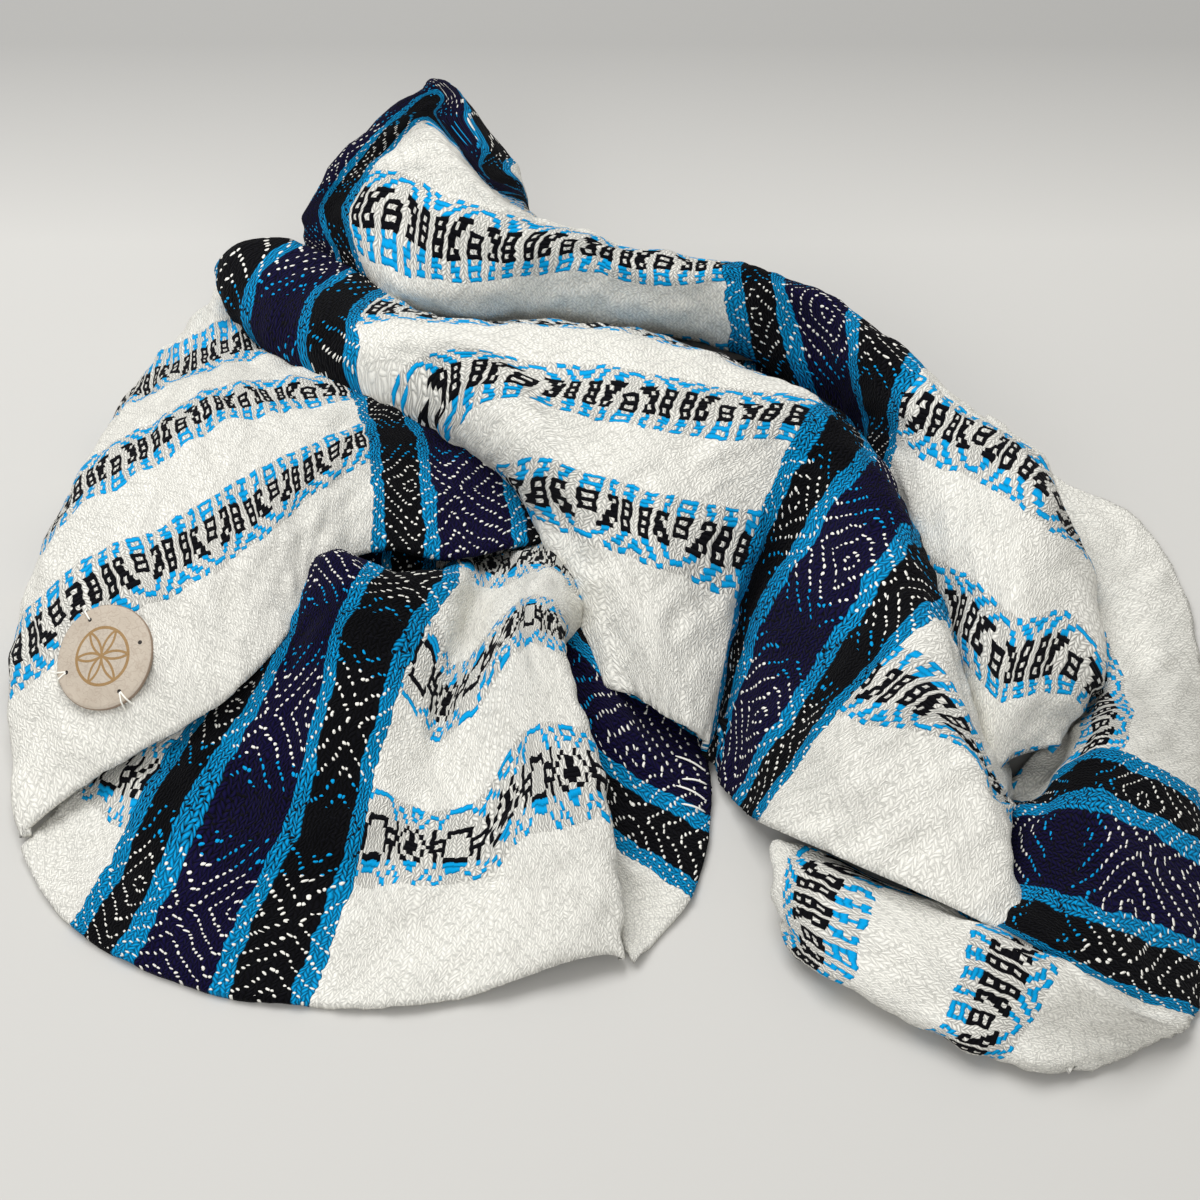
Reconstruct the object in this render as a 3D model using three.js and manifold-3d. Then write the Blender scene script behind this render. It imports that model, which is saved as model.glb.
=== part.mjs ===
// Cowl scarf: a wide woven tube, dropped on a table and lying in a soft heap.
// Millimetres, +Z up, front towards -Y. The table top is z = 0.
//
// The tube is 264 wide from rim to rim and 728 round. Each stretch of it that shows is a
// wall of cloth through a short table of folds. A row of a table is one fold line across
// the tube, and each knot in it is [along, across, x, y, z]: how far along and across the
// flat cloth it is, and where the outer face of the cloth lies there.
import * as THREE from "three";
import Module from "manifold-3d";

const WALL = 2.2;          // thickness of the soft, loose weave
const GAP = 0.4;           // clearance between neighbouring stretches
const ALONG_STEPS = 2;     // quads between neighbouring rows of knots
const CORE_STEPS = 6;      // points between knots where the inside is fitted
const CORE_SPACING = 12;   // grid of the folded layers inside the heap
const CORE_REACH = 10;     // the inside keeps under all cloth this near
const CORE_DROP = 1.6;     // and this far below it
const CORE_MIN = 4;        // thinnest edge of the folded layers
const LAYER = 5;           // one folded layer at the edge of the inside
const LABEL_RADIUS = 13.5; // leather label
const LABEL_THICK = 1.4;
const LABEL_LIFT = 0.4;
const LABEL_AT = [6.15, 0.55]; // where it is sewn, in rows and knots of the label stretch

const CLOTH = { color: 0xe1ded5, roughness: 0.95, metalness: 0 };
const NAVY = { color: 0x1e184b, roughness: 0.95, metalness: 0 };
const LEATHER = { color: 0xc8b8a8, roughness: 0.7, metalness: 0 };

// From the rim over the high fold to the floor behind, right of it to left.
const LABEL_STRETCH = [
  [[-50, 0, -17, 3, 15], [-46, 44, -26, 32, 20], [-44, 88, -37, 55, 22],
   [-40, 125, -49, 82, 16], [-46, 144, -76, 96, 12], [-46, 156, -76, 101, 2]],
  [[-25, 0, -41, -9, 21], [-24, 44, -48, 31, 25], [-22, 88, -59, 50, 26],
   [-20, 125, -68, 77, 20], [-24, 146, -82, 98, 14], [-24, 158, -82, 103, 2]],
  [[0, 0, -62, -10, 25], [0, 44, -65, 24, 31], [0, 88, -72, 44, 30],
   [0, 128, -82, 73, 22], [0, 150, -94, 102, 14], [0, 162, -94, 107, 2]],
  [[26, 0, -76, -27, 29], [26, 44, -80, 6, 37], [26, 88, -91, 38, 34],
   [26, 130, -100, 67, 24], [26, 154, -110, 108, 14], [26, 166, -110, 113, 2]],
  [[52, 0, -82, -43, 28], [52, 44, -93, -11, 40], [52, 88, -106, 31, 37],
   [52, 132, -114, 61, 25], [52, 154, -119, 95, 13], [52, 166, -119, 100, 2]],
  [[79, 0, -96, -60, 25], [79, 44, -109, -22, 38], [79, 88, -122, 19, 35],
   [79, 132, -128, 56, 21], [79, 146, -129, 76, 12], [79, 158, -129, 81, 2]],
  [[106, 0, -114, -68, 18], [106, 44, -129, -28, 32], [104, 88, -139, 13, 27],
   [98, 128, -136, 52, 16], [98, 136, -137, 61, 10], [98, 148, -137, 66, 2]],
  [[130, 0, -133, -76, 10], [126, 44, -146, -34, 20], [120, 84, -149, 6, 15],
   [112, 122, -141, 41, 11], [110, 130, -142, 47, 7], [110, 142, -142, 52, 2]],
  [[146, 0, -146, -85, 3], [142, 42, -155, -36, 8], [136, 80, -153, 5, 7],
   [128, 116, -143, 43, 6], [128, 124, -140, 48, 4], [128, 130, -137, 50, 2]],
  [[151, 0, -143, -84, 2], [150, 42, -152, -35, 2], [144, 80, -150, 4, 2],
   [136, 116, -140, 41, 2], [134, 124, -137, 44, 1], [131, 130, -135, 48, 1]],
];
// The open mouth of the tube: floor rim, slope, and the deep end under the other folds.
const MOUTH = [
  [[-24, 0, -145, -88, 2], [-24, 26, -137, -74, 3], [-22, 46, -127, -64, 6],
   [-16, 80, -110, -45, 10], [-10, 110, -99, -23, 12], [-10, 124, -98, -17, 3]],
  [[-12, 0, -138, -100, 2], [-12, 24, -129, -86, 4], [-10, 44, -121, -69, 9],
   [-6, 84, -100, -41, 18], [-4, 112, -90, -21, 18], [-4, 126, -89, -15, 6]],
  [[0, 0, -130, -109, 2], [0, 24, -122, -93, 5], [0, 44, -114, -73, 11],
   [2, 84, -92, -41, 22], [3, 112, -84, -16, 20], [3, 126, -83, -10, 8]],
  [[16, 0, -119, -117, 2], [16, 24, -111, -99, 6], [16, 44, -103, -76, 13],
   [16, 86, -83, -42, 27], [18, 112, -80, -17, 26], [18, 126, -79, -11, 14]],
  [[31, 0, -104, -124, 2], [31, 24, -97, -106, 6], [31, 44, -87, -84, 14],
   [31, 88, -74, -39, 31], [32, 112, -70, -19, 35], [32, 126, -69, -13, 23]],
  [[46, 0, -89, -129, 2], [46, 24, -83, -106, 6], [46, 44, -74, -89, 14],
   [46, 88, -65, -39, 31], [46, 112, -57, -25, 33], [46, 126, -56, -19, 21]],
  [[62, 0, -70, -131, 2], [62, 24, -64, -110, 5], [62, 44, -60, -90, 12],
   [62, 88, -49, -44, 24], [62, 114, -39, -20, 24], [62, 129, -41, -3, 14]],
  [[80, 0, -52, -132, 3], [80, 24, -50, -109, 5], [80, 44, -48, -91, 10],
   [78, 88, -42, -52, 15], [76, 120, -34, -15, 15], [76, 135, -34, 1, 9]],
  [[100, 0, -33, -129, 4], [98, 24, -32, -106, 6], [98, 44, -32, -91, 10],
   [94, 88, -34, -45, 20], [92, 125, -26, -12, 18], [92, 140, -26, 5, 9]],
  [[108, 0, -25, -127, 5], [108, 24, -23, -103, 11], [108, 44, -24, -82, 17],
   [106, 88, -25, -39, 30], [104, 125, -20, -15, 24], [104, 140, -19, 5, 12]],
  [[124, 0, -12, -123, 7], [124, 24, -12, -101, 15], [124, 44, -15, -80, 24],
   [122, 88, -19, -40, 35], [118, 125, -14, -19, 28], [118, 140, -14, 1, 14]],
  [[138, 0, -1, -120, 6], [138, 24, -2, -100, 17], [138, 44, -5, -81, 26],
   [136, 86, -14, -44, 34], [132, 120, -10, -25, 26], [132, 135, -10, -7, 13]],
  [[143, 0, 3, -120, 4], [142, 24, 1, -101, 14], [142, 44, -2, -80, 22],
   [140, 84, -12, -44, 28], [136, 118, -7, -26, 20], [136, 133, -6, -13, 12]],
  [[147, 0, 3, -118, 2], [148, 24, 0, -100, 6], [148, 44, -4, -79, 13],
   [146, 84, -14, -45, 18], [142, 118, -9, -28, 12], [142, 133, -8, -15, 8]],
];
// The same cloth over the ridge, down to its rim on the right.
const MOUTH_SIDE = [
  [[147, 0, 5, -120, 2], [147, 14, 3, -116, 2], [147, 28, -1, -109, 2], [147, 42, -5, -102, 2]],
  [[160, 0, 12, -111, 2], [160, 14, 7, -104, 3], [160, 28, 0, -98, 4], [160, 42, -8, -92, 4]],
  [[172, 0, 19, -102, 2], [172, 14, 10, -96, 4], [172, 28, 0, -90, 7], [172, 42, -9, -82, 7]],
  [[188, 0, 24, -84, 2], [188, 14, 12, -79, 6], [188, 28, 0, -73, 10], [188, 42, -9, -63, 11]],
  [[200, 0, 25, -70, 3], [200, 14, 13, -66, 8], [200, 28, 0, -60, 14], [200, 42, -11, -48, 15]],
  [[212, 0, 24, -56, 3], [212, 14, 12, -51, 9], [212, 28, -1, -46, 16], [212, 42, -12, -34, 17]],
  [[228, 0, 22, -39, 3], [228, 14, 10, -35, 9], [228, 28, -2, -29, 15], [228, 42, -11, -20, 16]],
];
// The broad fold in the middle, with the flap that runs out to the right: rim, front
// slope, crest, and down into the valley behind.
const MIDDLE_FOLD = [
  [[50, 0, -2, -43, 6], [37, 44, -22, 16, 10], [0, 88, -46, 38, 12],
   [-22, 112, -68, 49, 12], [-56, 134, -100, 79, 10], [-67, 150, -109, 100, 10]],
  [[60, 0, -5, -44, 13], [49, 44, -26, 14, 22], [14, 88, -51, 34, 26],
   [-8, 112, -73, 44, 27], [-48, 134, -105, 74, 26], [-60, 150, -114, 97, 26]],
  [[64, 0, -2, -47, 15], [54, 44, -21, 6, 29], [17, 88, -48, 35, 34],
   [-4, 112, -73, 47, 35], [-35, 134, -96, 71, 34], [-54, 152, -107, 101, 31]],
  [[68, 0, 0, -49, 16], [59, 44, -16, 1, 34], [22, 88, -43, 38, 40],
   [1, 112, -67, 49, 40], [-20, 134, -84, 70, 38], [-47, 154, -93, 105, 30]],
  [[71, 0, 4, -51, 17], [63, 44, -11, -4, 38], [34, 88, -30, 36, 45],
   [15, 112, -54, 51, 44], [2, 130, -66, 67, 38], [-24, 151, -76, 99, 26]],
  [[76, 0, 7, -54, 18], [69, 44, -3, -10, 41], [43, 88, -17, 27, 48],
   [36, 112, -24, 48, 46], [28, 127, -39, 65, 35], [24, 144, -49, 80, 22]],
  [[86, 0, 12, -58, 18], [84, 44, 10, -16, 42], [68, 88, 7, 21, 49],
   [64, 112, 6, 45, 46], [60, 127, 0, 62, 35], [58, 144, -6, 81, 20]],
  [[97, 0, 19, -60, 15], [97, 44, 22, -17, 37], [94, 88, 32, 20, 46],
   [92, 110, 34, 37, 43], [90, 127, 30, 54, 32], [88, 144, 25, 72, 18]],
  [[110, 0, 25, -61, 9], [110, 44, 35, -14, 28], [110, 88, 51, 22, 42],
   [110, 104, 56, 31, 38], [110, 127, 52, 46, 26], [110, 144, 48, 60, 15]],
  [[126, 0, 26, -63, 3], [124, 44, 38, -19, 19], [124, 88, 62, 12, 40],
   [124, 100, 65, 20, 35], [124, 127, 63, 42, 22], [124, 144, 60, 57, 12]],
  [[141, 0, 27, -69, 3], [141, 44, 45, -40, 28], [141, 88, 70, -1, 39],
   [141, 100, 74, 4, 33], [140, 126, 73, 28, 18], [140, 147, 71, 44, 10]],
  [[157, 0, 31, -78, 6], [158, 44, 56, -56, 36], [158, 74, 75, -27, 39],
   [158, 86, 79, -22, 34], [157, 115, 81, 6, 18], [156, 140, 79, 25, 10]],
  [[172, 0, 35, -84, 9], [172, 44, 61, -64, 39], [172, 66, 79, -45, 39],
   [172, 78, 83, -41, 34], [172, 105, 84, -15, 18], [172, 130, 83, 3, 10]],
  [[192, 0, 51, -98, 16], [188, 40, 69, -71, 39], [188, 54, 82, -65, 37],
   [190, 66, 86, -62, 32], [192, 92, 87, -36, 16], [192, 115, 86, -21, 10]],
  [[215, 0, 73, -112, 19], [208, 34, 82, -80, 35], [206, 46, 87, -81, 33],
   [208, 58, 90, -79, 28], [210, 80, 93, -56, 14], [212, 100, 93, -44, 9]],
  [[235, 0, 89, -121, 19], [224, 28, 90, -93, 30], [222, 40, 92, -89, 27],
   [224, 50, 94, -87, 22], [226, 66, 98, -74, 12], [228, 84, 98, -62, 8]],
  [[246, 0, 97, -120, 14], [238, 26, 94, -100, 22], [236, 38, 95, -89, 20],
   [236, 46, 96, -86, 16], [236, 56, 98, -79, 10], [236, 70, 99, -70, 7]],
  [[254, 0, 96, -117, 6], [248, 26, 92, -99, 9], [246, 38, 93, -89, 8],
   [245, 46, 94, -86, 7], [244, 56, 96, -79, 6], [242, 70, 97, -70, 5]],
];
// The ridge behind with the raised hood at its left end, and its slope down to the right.
const BACK_RIDGE = [
  [[-60, 150, -82, 118, 3], [-57, 163, -85, 119, 3], [-62, 176, -84, 127, 3],
   [-68, 196, -76, 138, 3], [-70, 216, -61, 145, 3], [-71, 230, -61, 144, 6],
   [-77, 234, -62, 147, 5], [-65, 250, -63, 148, 3], [-54, 284, -64, 149, 2]],
  [[-53, 150, -85, 116, 9], [-47, 163, -88, 116, 16], [-46, 176, -87, 123, 20],
   [-46, 196, -79, 134, 26], [-44, 216, -60, 142, 32], [-43, 230, -56, 142, 48],
   [-49, 234, -57, 146, 38], [-49, 250, -59, 149, 20], [-49, 284, -60, 151, 2]],
  [[-44, 150, -88, 110, 16], [-38, 163, -89, 107, 28], [-34, 176, -88, 112, 34],
   [-32, 196, -80, 123, 44], [-30, 216, -63, 134, 54], [-30, 230, -52, 139, 60],
   [-36, 234, -52, 143, 57], [-36, 250, -51, 147, 37], [-36, 284, -51, 150, 2]],
  [[-30, 148, -79, 100, 15], [-20, 163, -80, 100, 30], [-14, 176, -81, 112, 37],
   [-14, 196, -71, 121, 46], [-14, 214, -58, 130, 56], [-14, 228, -50, 134, 57],
   [-44, 238, -45, 143, 53], [-44, 254, -44, 147, 33], [-44, 288, -44, 150, 2]],
  [[-14, 146, -70, 94, 14], [-3, 162, -73, 95, 30], [0, 176, -74, 108, 40],
   [0, 194, -64, 121, 48], [0, 210, -52, 127, 55], [-26, 224, -49, 128, 56],
   [-50, 240, -38, 140, 46], [-50, 256, -37, 144, 26], [-50, 290, -37, 147, 2]],
  [[-4, 144, -60, 89, 14], [10, 161, -64, 87, 29], [14, 176, -61, 105, 42],
   [13, 192, -54, 115, 49], [12, 204, -45, 117, 53], [-26, 222, -42, 120, 50],
   [-56, 238, -30, 132, 40], [-56, 254, -29, 136, 20], [-56, 288, -29, 139, 2]],
  [[10, 142, -49, 87, 13], [24, 159, -51, 81, 28], [28, 176, -49, 94, 42],
   [27, 188, -44, 104, 48], [26, 198, -37, 107, 50], [-32, 214, -36, 112, 46],
   [-61, 230, -26, 122, 36], [-61, 246, -25, 126, 16], [-61, 280, -25, 129, 2]],
  [[32, 142, -35, 86, 13], [42, 157, -35, 81, 28], [44, 176, -34, 90, 41],
   [42, 186, -31, 98, 45], [40, 194, -28, 100, 46], [36, 206, -26, 104, 42],
   [30, 216, -23, 111, 34], [30, 232, -22, 115, 14], [30, 266, -22, 118, 2]],
  [[68, 144, -12, 86, 13], [68, 156, -12, 84, 27], [68, 174, -10, 90, 40],
   [66, 182, -9, 93, 42], [65, 190, -7, 96, 40], [64, 204, -6, 102, 32],
   [64, 216, -5, 106, 22], [64, 232, -4, 110, 4], [64, 258, -4, 113, 2]],
  [[90, 142, 13, 81, 13], [90, 154, 13, 78, 27], [90, 170, 12, 81, 39],
   [90, 178, 13, 85, 41], [90, 186, 14, 88, 39], [90, 200, 16, 94, 31],
   [90, 212, 17, 98, 21], [90, 228, 18, 102, 4], [90, 254, 18, 105, 2]],
  [[110, 140, 35, 76, 13], [110, 150, 33, 74, 25], [110, 164, 32, 77, 38],
   [110, 172, 32, 81, 41], [110, 180, 33, 84, 40], [110, 194, 35, 88, 32],
   [110, 206, 36, 92, 22], [110, 222, 37, 96, 4], [110, 248, 37, 99, 2]],
  [[141, 126, 67, 44, 10], [141, 138, 62, 53, 24], [141, 152, 57, 62, 38],
   [141, 160, 55, 68, 42], [141, 168, 56, 72, 41], [141, 182, 59, 77, 33],
   [141, 194, 60, 81, 23], [141, 210, 61, 85, 4], [141, 236, 61, 88, 2]],
  [[172, 92, 73, 15, 16], [172, 114, 76, 23, 26], [172, 134, 78, 31, 37],
   [172, 142, 82, 37, 41], [172, 150, 84, 41, 40], [172, 164, 87, 46, 32],
   [172, 176, 88, 50, 22], [172, 192, 89, 54, 4], [172, 218, 89, 57, 2]],
  [[194, 76, 82, -35, 18], [190, 104, 81, -7, 27], [190, 126, 89, 15, 38],
   [190, 136, 93, 22, 41], [190, 145, 95, 25, 39], [190, 158, 100, 31, 31],
   [190, 170, 101, 35, 21], [190, 186, 102, 39, 4], [190, 212, 102, 42, 2]],
  [[212, 66, 87, -55, 20], [210, 98, 90, -26, 32], [210, 120, 99, -4, 40],
   [210, 132, 105, 8, 41], [210, 140, 109, 14, 38], [210, 152, 113, 19, 30],
   [210, 164, 114, 23, 20], [210, 180, 115, 27, 4], [210, 206, 115, 30, 2]],
  [[228, 56, 92, -77, 20], [230, 88, 97, -55, 35], [230, 112, 107, -25, 38],
   [228, 124, 113, -11, 37], [227, 132, 116, -4, 33], [226, 144, 120, 2, 25],
   [226, 156, 121, 6, 15], [226, 172, 122, 10, 4], [226, 198, 122, 13, 2]],
  [[240, 52, 98, -73, 20], [246, 80, 107, -58, 31], [246, 104, 116, -32, 31],
   [244, 118, 119, -17, 29], [243, 126, 122, -9, 24], [242, 138, 124, -2, 17],
   [242, 150, 125, 2, 7], [242, 166, 126, 6, 4], [242, 192, 126, 9, 2]],
  [[252, 54, 109, -68, 18], [258, 78, 116, -58, 22], [256, 100, 124, -46, 22],
   [254, 116, 125, -25, 19], [253, 124, 127, -12, 15], [252, 134, 128, -4, 10],
   [252, 146, 129, 0, 4], [252, 162, 130, 4, 4], [252, 188, 130, 7, 2]],
  [[258, 54, 109, -65, 10], [266, 78, 116, -54, 11], [264, 100, 122, -43, 10],
   [261, 116, 123, -23, 8], [259, 124, 125, -11, 7], [257, 134, 126, -4, 5],
   [257, 146, 127, 0, 3], [257, 162, 128, 4, 3], [257, 188, 128, 7, 2]],
];
// The lobe on the right, from its far rim, over the crease, to the under-lobe in front.
const RIGHT_LOBE = [
  [[-138, 0, 108, 62, 2], [-138, 5, 106, 56, 4], [-138, 10, 105, 52, 5], [-138, 15, 104, 49, 5],
   [-138, 20, 104, 47, 4], [-138, 25, 103, 46, 3], [-138, 30, 102, 44, 3], [-138, 33, 100, 44, 2]],
  [[-124, 0, 117, 51, 2], [-124, 5, 115, 45, 5], [-124, 11, 114, 40, 7], [-124, 16, 113, 37, 6],
   [-124, 21, 113, 35, 5], [-124, 26, 112, 33, 4], [-124, 30, 112, 32, 3], [-124, 33, 110, 32, 2]],
  [[-112, 0, 126, 36, 2], [-112, 6, 124, 31, 4], [-112, 12, 122, 26, 5], [-112, 18, 121, 24, 5],
   [-112, 23, 121, 23, 4], [-112, 27, 120, 22, 3], [-112, 31, 120, 21, 3], [-112, 34, 118, 21, 2]],
  [[-97, 0, 144, 23, 2], [-97, 14, 136, 16, 5], [-97, 28, 128, 10, 7], [-97, 36, 125, 7, 7],
   [-97, 42, 123, 6, 7], [-97, 47, 121, 5, 6], [-97, 51, 120, 4, 5], [-97, 54, 118, 4, 4]],
  [[-70, 0, 154, -4, 2], [-70, 14, 141, -12, 9], [-70, 27, 129, -18, 13], [-70, 36, 125, -20, 12],
   [-70, 42, 123, -21, 11], [-70, 47, 122, -20, 9], [-70, 51, 120, -20, 7], [-70, 54, 118, -20, 6]],
  [[-40, 0, 154, -35, 2], [-40, 17, 140, -44, 14], [-40, 33, 128, -50, 19], [-40, 41, 123, -50, 18],
   [-40, 48, 122, -48, 14], [-40, 54, 121, -46, 9], [-40, 60, 119, -46, 8], [-40, 63, 117, -46, 7]],
  [[-12, 0, 151, -61, 2], [-12, 20, 136, -64, 14], [-12, 42, 122, -62, 19], [-12, 52, 117, -63, 16],
   [-12, 59, 114, -63, 13], [-12, 64, 112, -62, 8], [-12, 73, 106, -64, 7], [-12, 76, 104, -64, 6]],
  [[0, 0, 148, -72, 2], [0, 20, 133, -71, 14], [0, 42, 119, -68, 17], [0, 54, 111, -73, 15],
   [0, 64, 106, -77, 11], [0, 71, 102, -77, 7], [0, 78, 97, -76, 7], [0, 81, 95, -76, 6]],
  [[17, 0, 146, -88, 2], [17, 20, 130, -85, 14], [17, 42, 113, -82, 19], [17, 54, 106, -83, 16],
   [17, 64, 100, -82, 12], [17, 71, 98, -79, 8], [17, 76, 96, -79, 6], [17, 79, 94, -79, 5]],
  [[41, 0, 141, -116, 2], [41, 20, 123, -115, 14], [41, 40, 105, -114, 21], [41, 52, 97, -110, 19],
   [41, 60, 93, -106, 15], [41, 67, 91, -102, 10], [41, 72, 88, -100, 8], [41, 75, 86, -100, 7]],
  [[57, 0, 137, -132, 2], [57, 20, 118, -133, 14], [57, 40, 99, -127, 22], [57, 52, 91, -121, 20],
   [57, 62, 87, -115, 15], [57, 72, 82, -109, 10], [57, 84, 72, -103, 8], [57, 87, 70, -103, 7]],
  [[64, 0, 134, -136, 3], [64, 20, 116, -136, 14], [64, 38, 98, -129, 21], [64, 52, 90, -122, 19],
   [64, 66, 79, -114, 15], [64, 84, 64, -103, 11], [64, 100, 45, -90, 8], [64, 108, 50, -89, 3]],
  [[68, 0, 132, -139, 4], [68, 18, 115, -140, 17], [68, 34, 100, -132, 24], [68, 48, 89, -124, 21],
   [68, 66, 75, -113, 15], [68, 88, 52, -99, 11], [68, 106, 39, -90, 9], [68, 114, 44, -89, 4]],
  [[76, 0, 127, -141, 3], [76, 18, 110, -141, 14], [76, 38, 95, -134, 19], [76, 50, 85, -127, 17],
   [76, 68, 72, -118, 13], [76, 88, 47, -104, 11], [76, 108, 38, -97, 9], [76, 116, 42, -96, 4]],
  [[88, 0, 117, -146, 3], [88, 18, 105, -144, 8], [88, 38, 91, -139, 11], [88, 48, 83, -135, 11],
   [88, 68, 67, -126, 10], [88, 88, 45, -113, 10], [88, 108, 38, -106, 8], [88, 116, 42, -105, 3]],
  [[99, 0, 108, -149, 2], [99, 18, 98, -149, 5], [99, 36, 88, -146, 7], [99, 48, 80, -143, 7],
   [99, 68, 63, -133, 8], [99, 86, 47, -122, 8], [99, 106, 40, -111, 7], [99, 114, 44, -110, 3]],
  [[105, 0, 103, -150, 2], [105, 16, 95, -149, 3], [105, 36, 85, -146, 4], [105, 48, 76, -142, 5],
   [105, 68, 60, -132, 5], [105, 86, 45, -122, 5], [105, 104, 39, -111, 5], [105, 112, 44, -110, 2]],
  [[110, 0, 102, -149, 2], [112, 16, 95, -146, 2], [113, 36, 85, -142, 2], [113, 48, 77, -138, 2],
   [113, 68, 62, -128, 2], [113, 86, 48, -119, 2], [113, 104, 43, -109, 2], [113, 112, 48, -108, 2]],
];
// Slopes for a smooth run through knots of uneven spacing.
function knotSlopes(knots) {
  const count = knots.length;
  const span = (a, b) => Math.hypot(b[2] - a[2], b[3] - a[3], b[4] - a[4]) + 1e-6;
  const slopes = knots.map(() => [0, 0, 0, 0, 0]);
  for (let i = 1; i < count - 1; i += 1) {
    const before = span(knots[i - 1], knots[i]);
    const after = span(knots[i], knots[i + 1]);
    for (let k = 0; k < 5; k += 1) {
      const stepBefore = knots[i][k] - knots[i - 1][k];
      const stepAfter = knots[i + 1][k] - knots[i][k];
      slopes[i][k] = (after * stepBefore + before * stepAfter) / (before + after);
    }
  }
  for (let k = 0; k < 5; k += 1) {
    slopes[0][k] = 1.5 * (knots[1][k] - knots[0][k]) - 0.5 * slopes[1][k];
    slopes[count - 1][k] = 1.5 * (knots[count - 1][k] - knots[count - 2][k])
      - 0.5 * slopes[count - 2][k];
  }
  return slopes;
}

// A point on the smooth run through the knots; `at` counts knots and may lie between them.
function along(knots, slopes, at) {
  const i = Math.min(knots.length - 2, Math.max(0, Math.floor(at)));
  const t = at - i;
  const startWeight = 2 * t ** 3 - 3 * t ** 2 + 1;
  const leaveWeight = t ** 3 - 2 * t ** 2 + t;
  const arriveWeight = t ** 3 - t ** 2;
  return knots[i].map((value, k) => startWeight * value + leaveWeight * slopes[i][k]
    + (1 - startWeight) * knots[i + 1][k] + arriveWeight * slopes[i + 1][k]);
}

// The same run as a list, with `steps` points to every knot.
function runThrough(knots, steps) {
  const slopes = knotSlopes(knots);
  const run = [];
  for (let i = 0; i <= (knots.length - 1) * steps; i += 1) {
    run.push(along(knots, slopes, i / steps));
  }
  return run;
}

// A point of a stretch, by row and by knot.
function onStretch(table, row, knot) {
  const line = table.map((knots) => along(knots, knotSlopes(knots), knot));
  return along(line, knotSlopes(line), row);
}

// The outer face of a stretch as a grid of points.
function faceOf(table, stepsAlong, stepsAcross) {
  const lines = table.map((knots) => runThrough(knots, stepsAcross));
  const strips = lines[0].map((_, j) => runThrough(lines.map((line) => line[j]), stepsAlong));
  return strips[0].map((_, i) => strips.map((strip) => {
    const [, , x, y, z] = strip[i];
    return new THREE.Vector3(x, y, Math.max(z, WALL));
  }));
}

// The way out of the cloth at every point of a face. `side` is 1 or -1 for its handing.
function outwardOf(grid, side) {
  const last = grid.length - 1;
  return grid.map((line, i) => line.map((point, j) => {
    const end = line.length - 1;
    const alongTube = grid[Math.min(i + 1, last)][j].clone().sub(grid[Math.max(i - 1, 0)][j]);
    const acrossTube = line[Math.min(j + 1, end)].clone().sub(line[Math.max(j - 1, 0)]);
    return alongTube.cross(acrossTube).normalize().multiplyScalar(side);
  }));
}

function solidOf(wasm, points, triangles) {
  return new wasm.Manifold(new wasm.Mesh({
    numProp: 3,
    vertProperties: new Float32Array(points.flatMap((point) => point.toArray())),
    triVerts: new Uint32Array(triangles),
  }));
}

// A closed solid between two grids of points, `top` outside and `bottom` inside.
function closedBetween(wasm, top, bottom, side) {
  const rows = top.length;
  const columns = top[0].length;
  const triangles = [];
  const quad = (a, b, c, d) => {
    if (side > 0) {
      triangles.push(a, b, c, a, c, d);
    } else {
      triangles.push(a, c, b, a, d, c);
    }
  };
  const upper = (i, j) => i * columns + j;
  const lower = (i, j) => rows * columns + i * columns + j;
  for (let i = 0; i < rows - 1; i += 1) {
    for (let j = 0; j < columns - 1; j += 1) {
      quad(upper(i, j), upper(i + 1, j), upper(i + 1, j + 1), upper(i, j + 1));
      quad(lower(i, j), lower(i, j + 1), lower(i + 1, j + 1), lower(i + 1, j));
    }
  }
  for (let i = 0; i < rows - 1; i += 1) {
    quad(upper(i, 0), lower(i, 0), lower(i + 1, 0), upper(i + 1, 0));
    quad(upper(i, columns - 1), upper(i + 1, columns - 1), lower(i + 1, columns - 1),
      lower(i, columns - 1));
  }
  for (let j = 0; j < columns - 1; j += 1) {
    quad(upper(0, j), upper(0, j + 1), lower(0, j + 1), lower(0, j));
    quad(upper(rows - 1, j), lower(rows - 1, j), lower(rows - 1, j + 1), upper(rows - 1, j + 1));
  }
  return solidOf(wasm, [...top.flat(), ...bottom.flat()], triangles);
}

// A column of the folded layers, from the table up to its `corners`, counterclockwise.
function columnUnder(wasm, corners) {
  const count = corners.length;
  const feet = corners.map((corner) => new THREE.Vector3(corner.x, corner.y, 0));
  const triangles = [];
  for (let k = 0; k < count; k += 1) {
    const next = (k + 1) % count;
    triangles.push(k, count + k, count + next, k, count + next, next);
  }
  for (let k = 1; k < count - 1; k += 1) {
    triangles.push(0, k, k + 1, count, count + k + 1, count + k);
  }
  return solidOf(wasm, [...corners, ...feet], triangles);
}

// The wall of cloth below a face, `spare` bigger all round and never below the table.
function wallOf(wasm, stretch, spare) {
  const { table, side, acrossSteps } = stretch;
  const face = faceOf(table, ALONG_STEPS, acrossSteps);
  const outward = outwardOf(face, side);
  const last = face.length - 1;
  const grown = face.map((line, i) => line.map((point, j) => {
    const end = line.length - 1;
    const result = point.clone();
    const innerRow = i === 0 ? 1 : i === last ? last - 1 : i;
    const innerKnot = j === 0 ? 1 : j === end ? end - 1 : j;
    const edge = point.clone().sub(face[innerRow][innerKnot]);
    return edge.lengthSq() > 0 ? result.addScaledVector(edge.normalize(), spare * 1.5) : result;
  }));
  const top = grown.map((line, i) => line.map((point, j) => (
    point.clone().addScaledVector(outward[i][j], spare))));
  const floor = spare > 0 ? -GAP : 0;
  const bottom = grown.map((line, i) => line.map((point, j) => {
    const low = point.clone().addScaledVector(outward[i][j], -WALL - spare);
    low.z = Math.max(low.z, floor);
    return low;
  }));
  return closedBetween(wasm, top, bottom, side);
}

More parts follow.
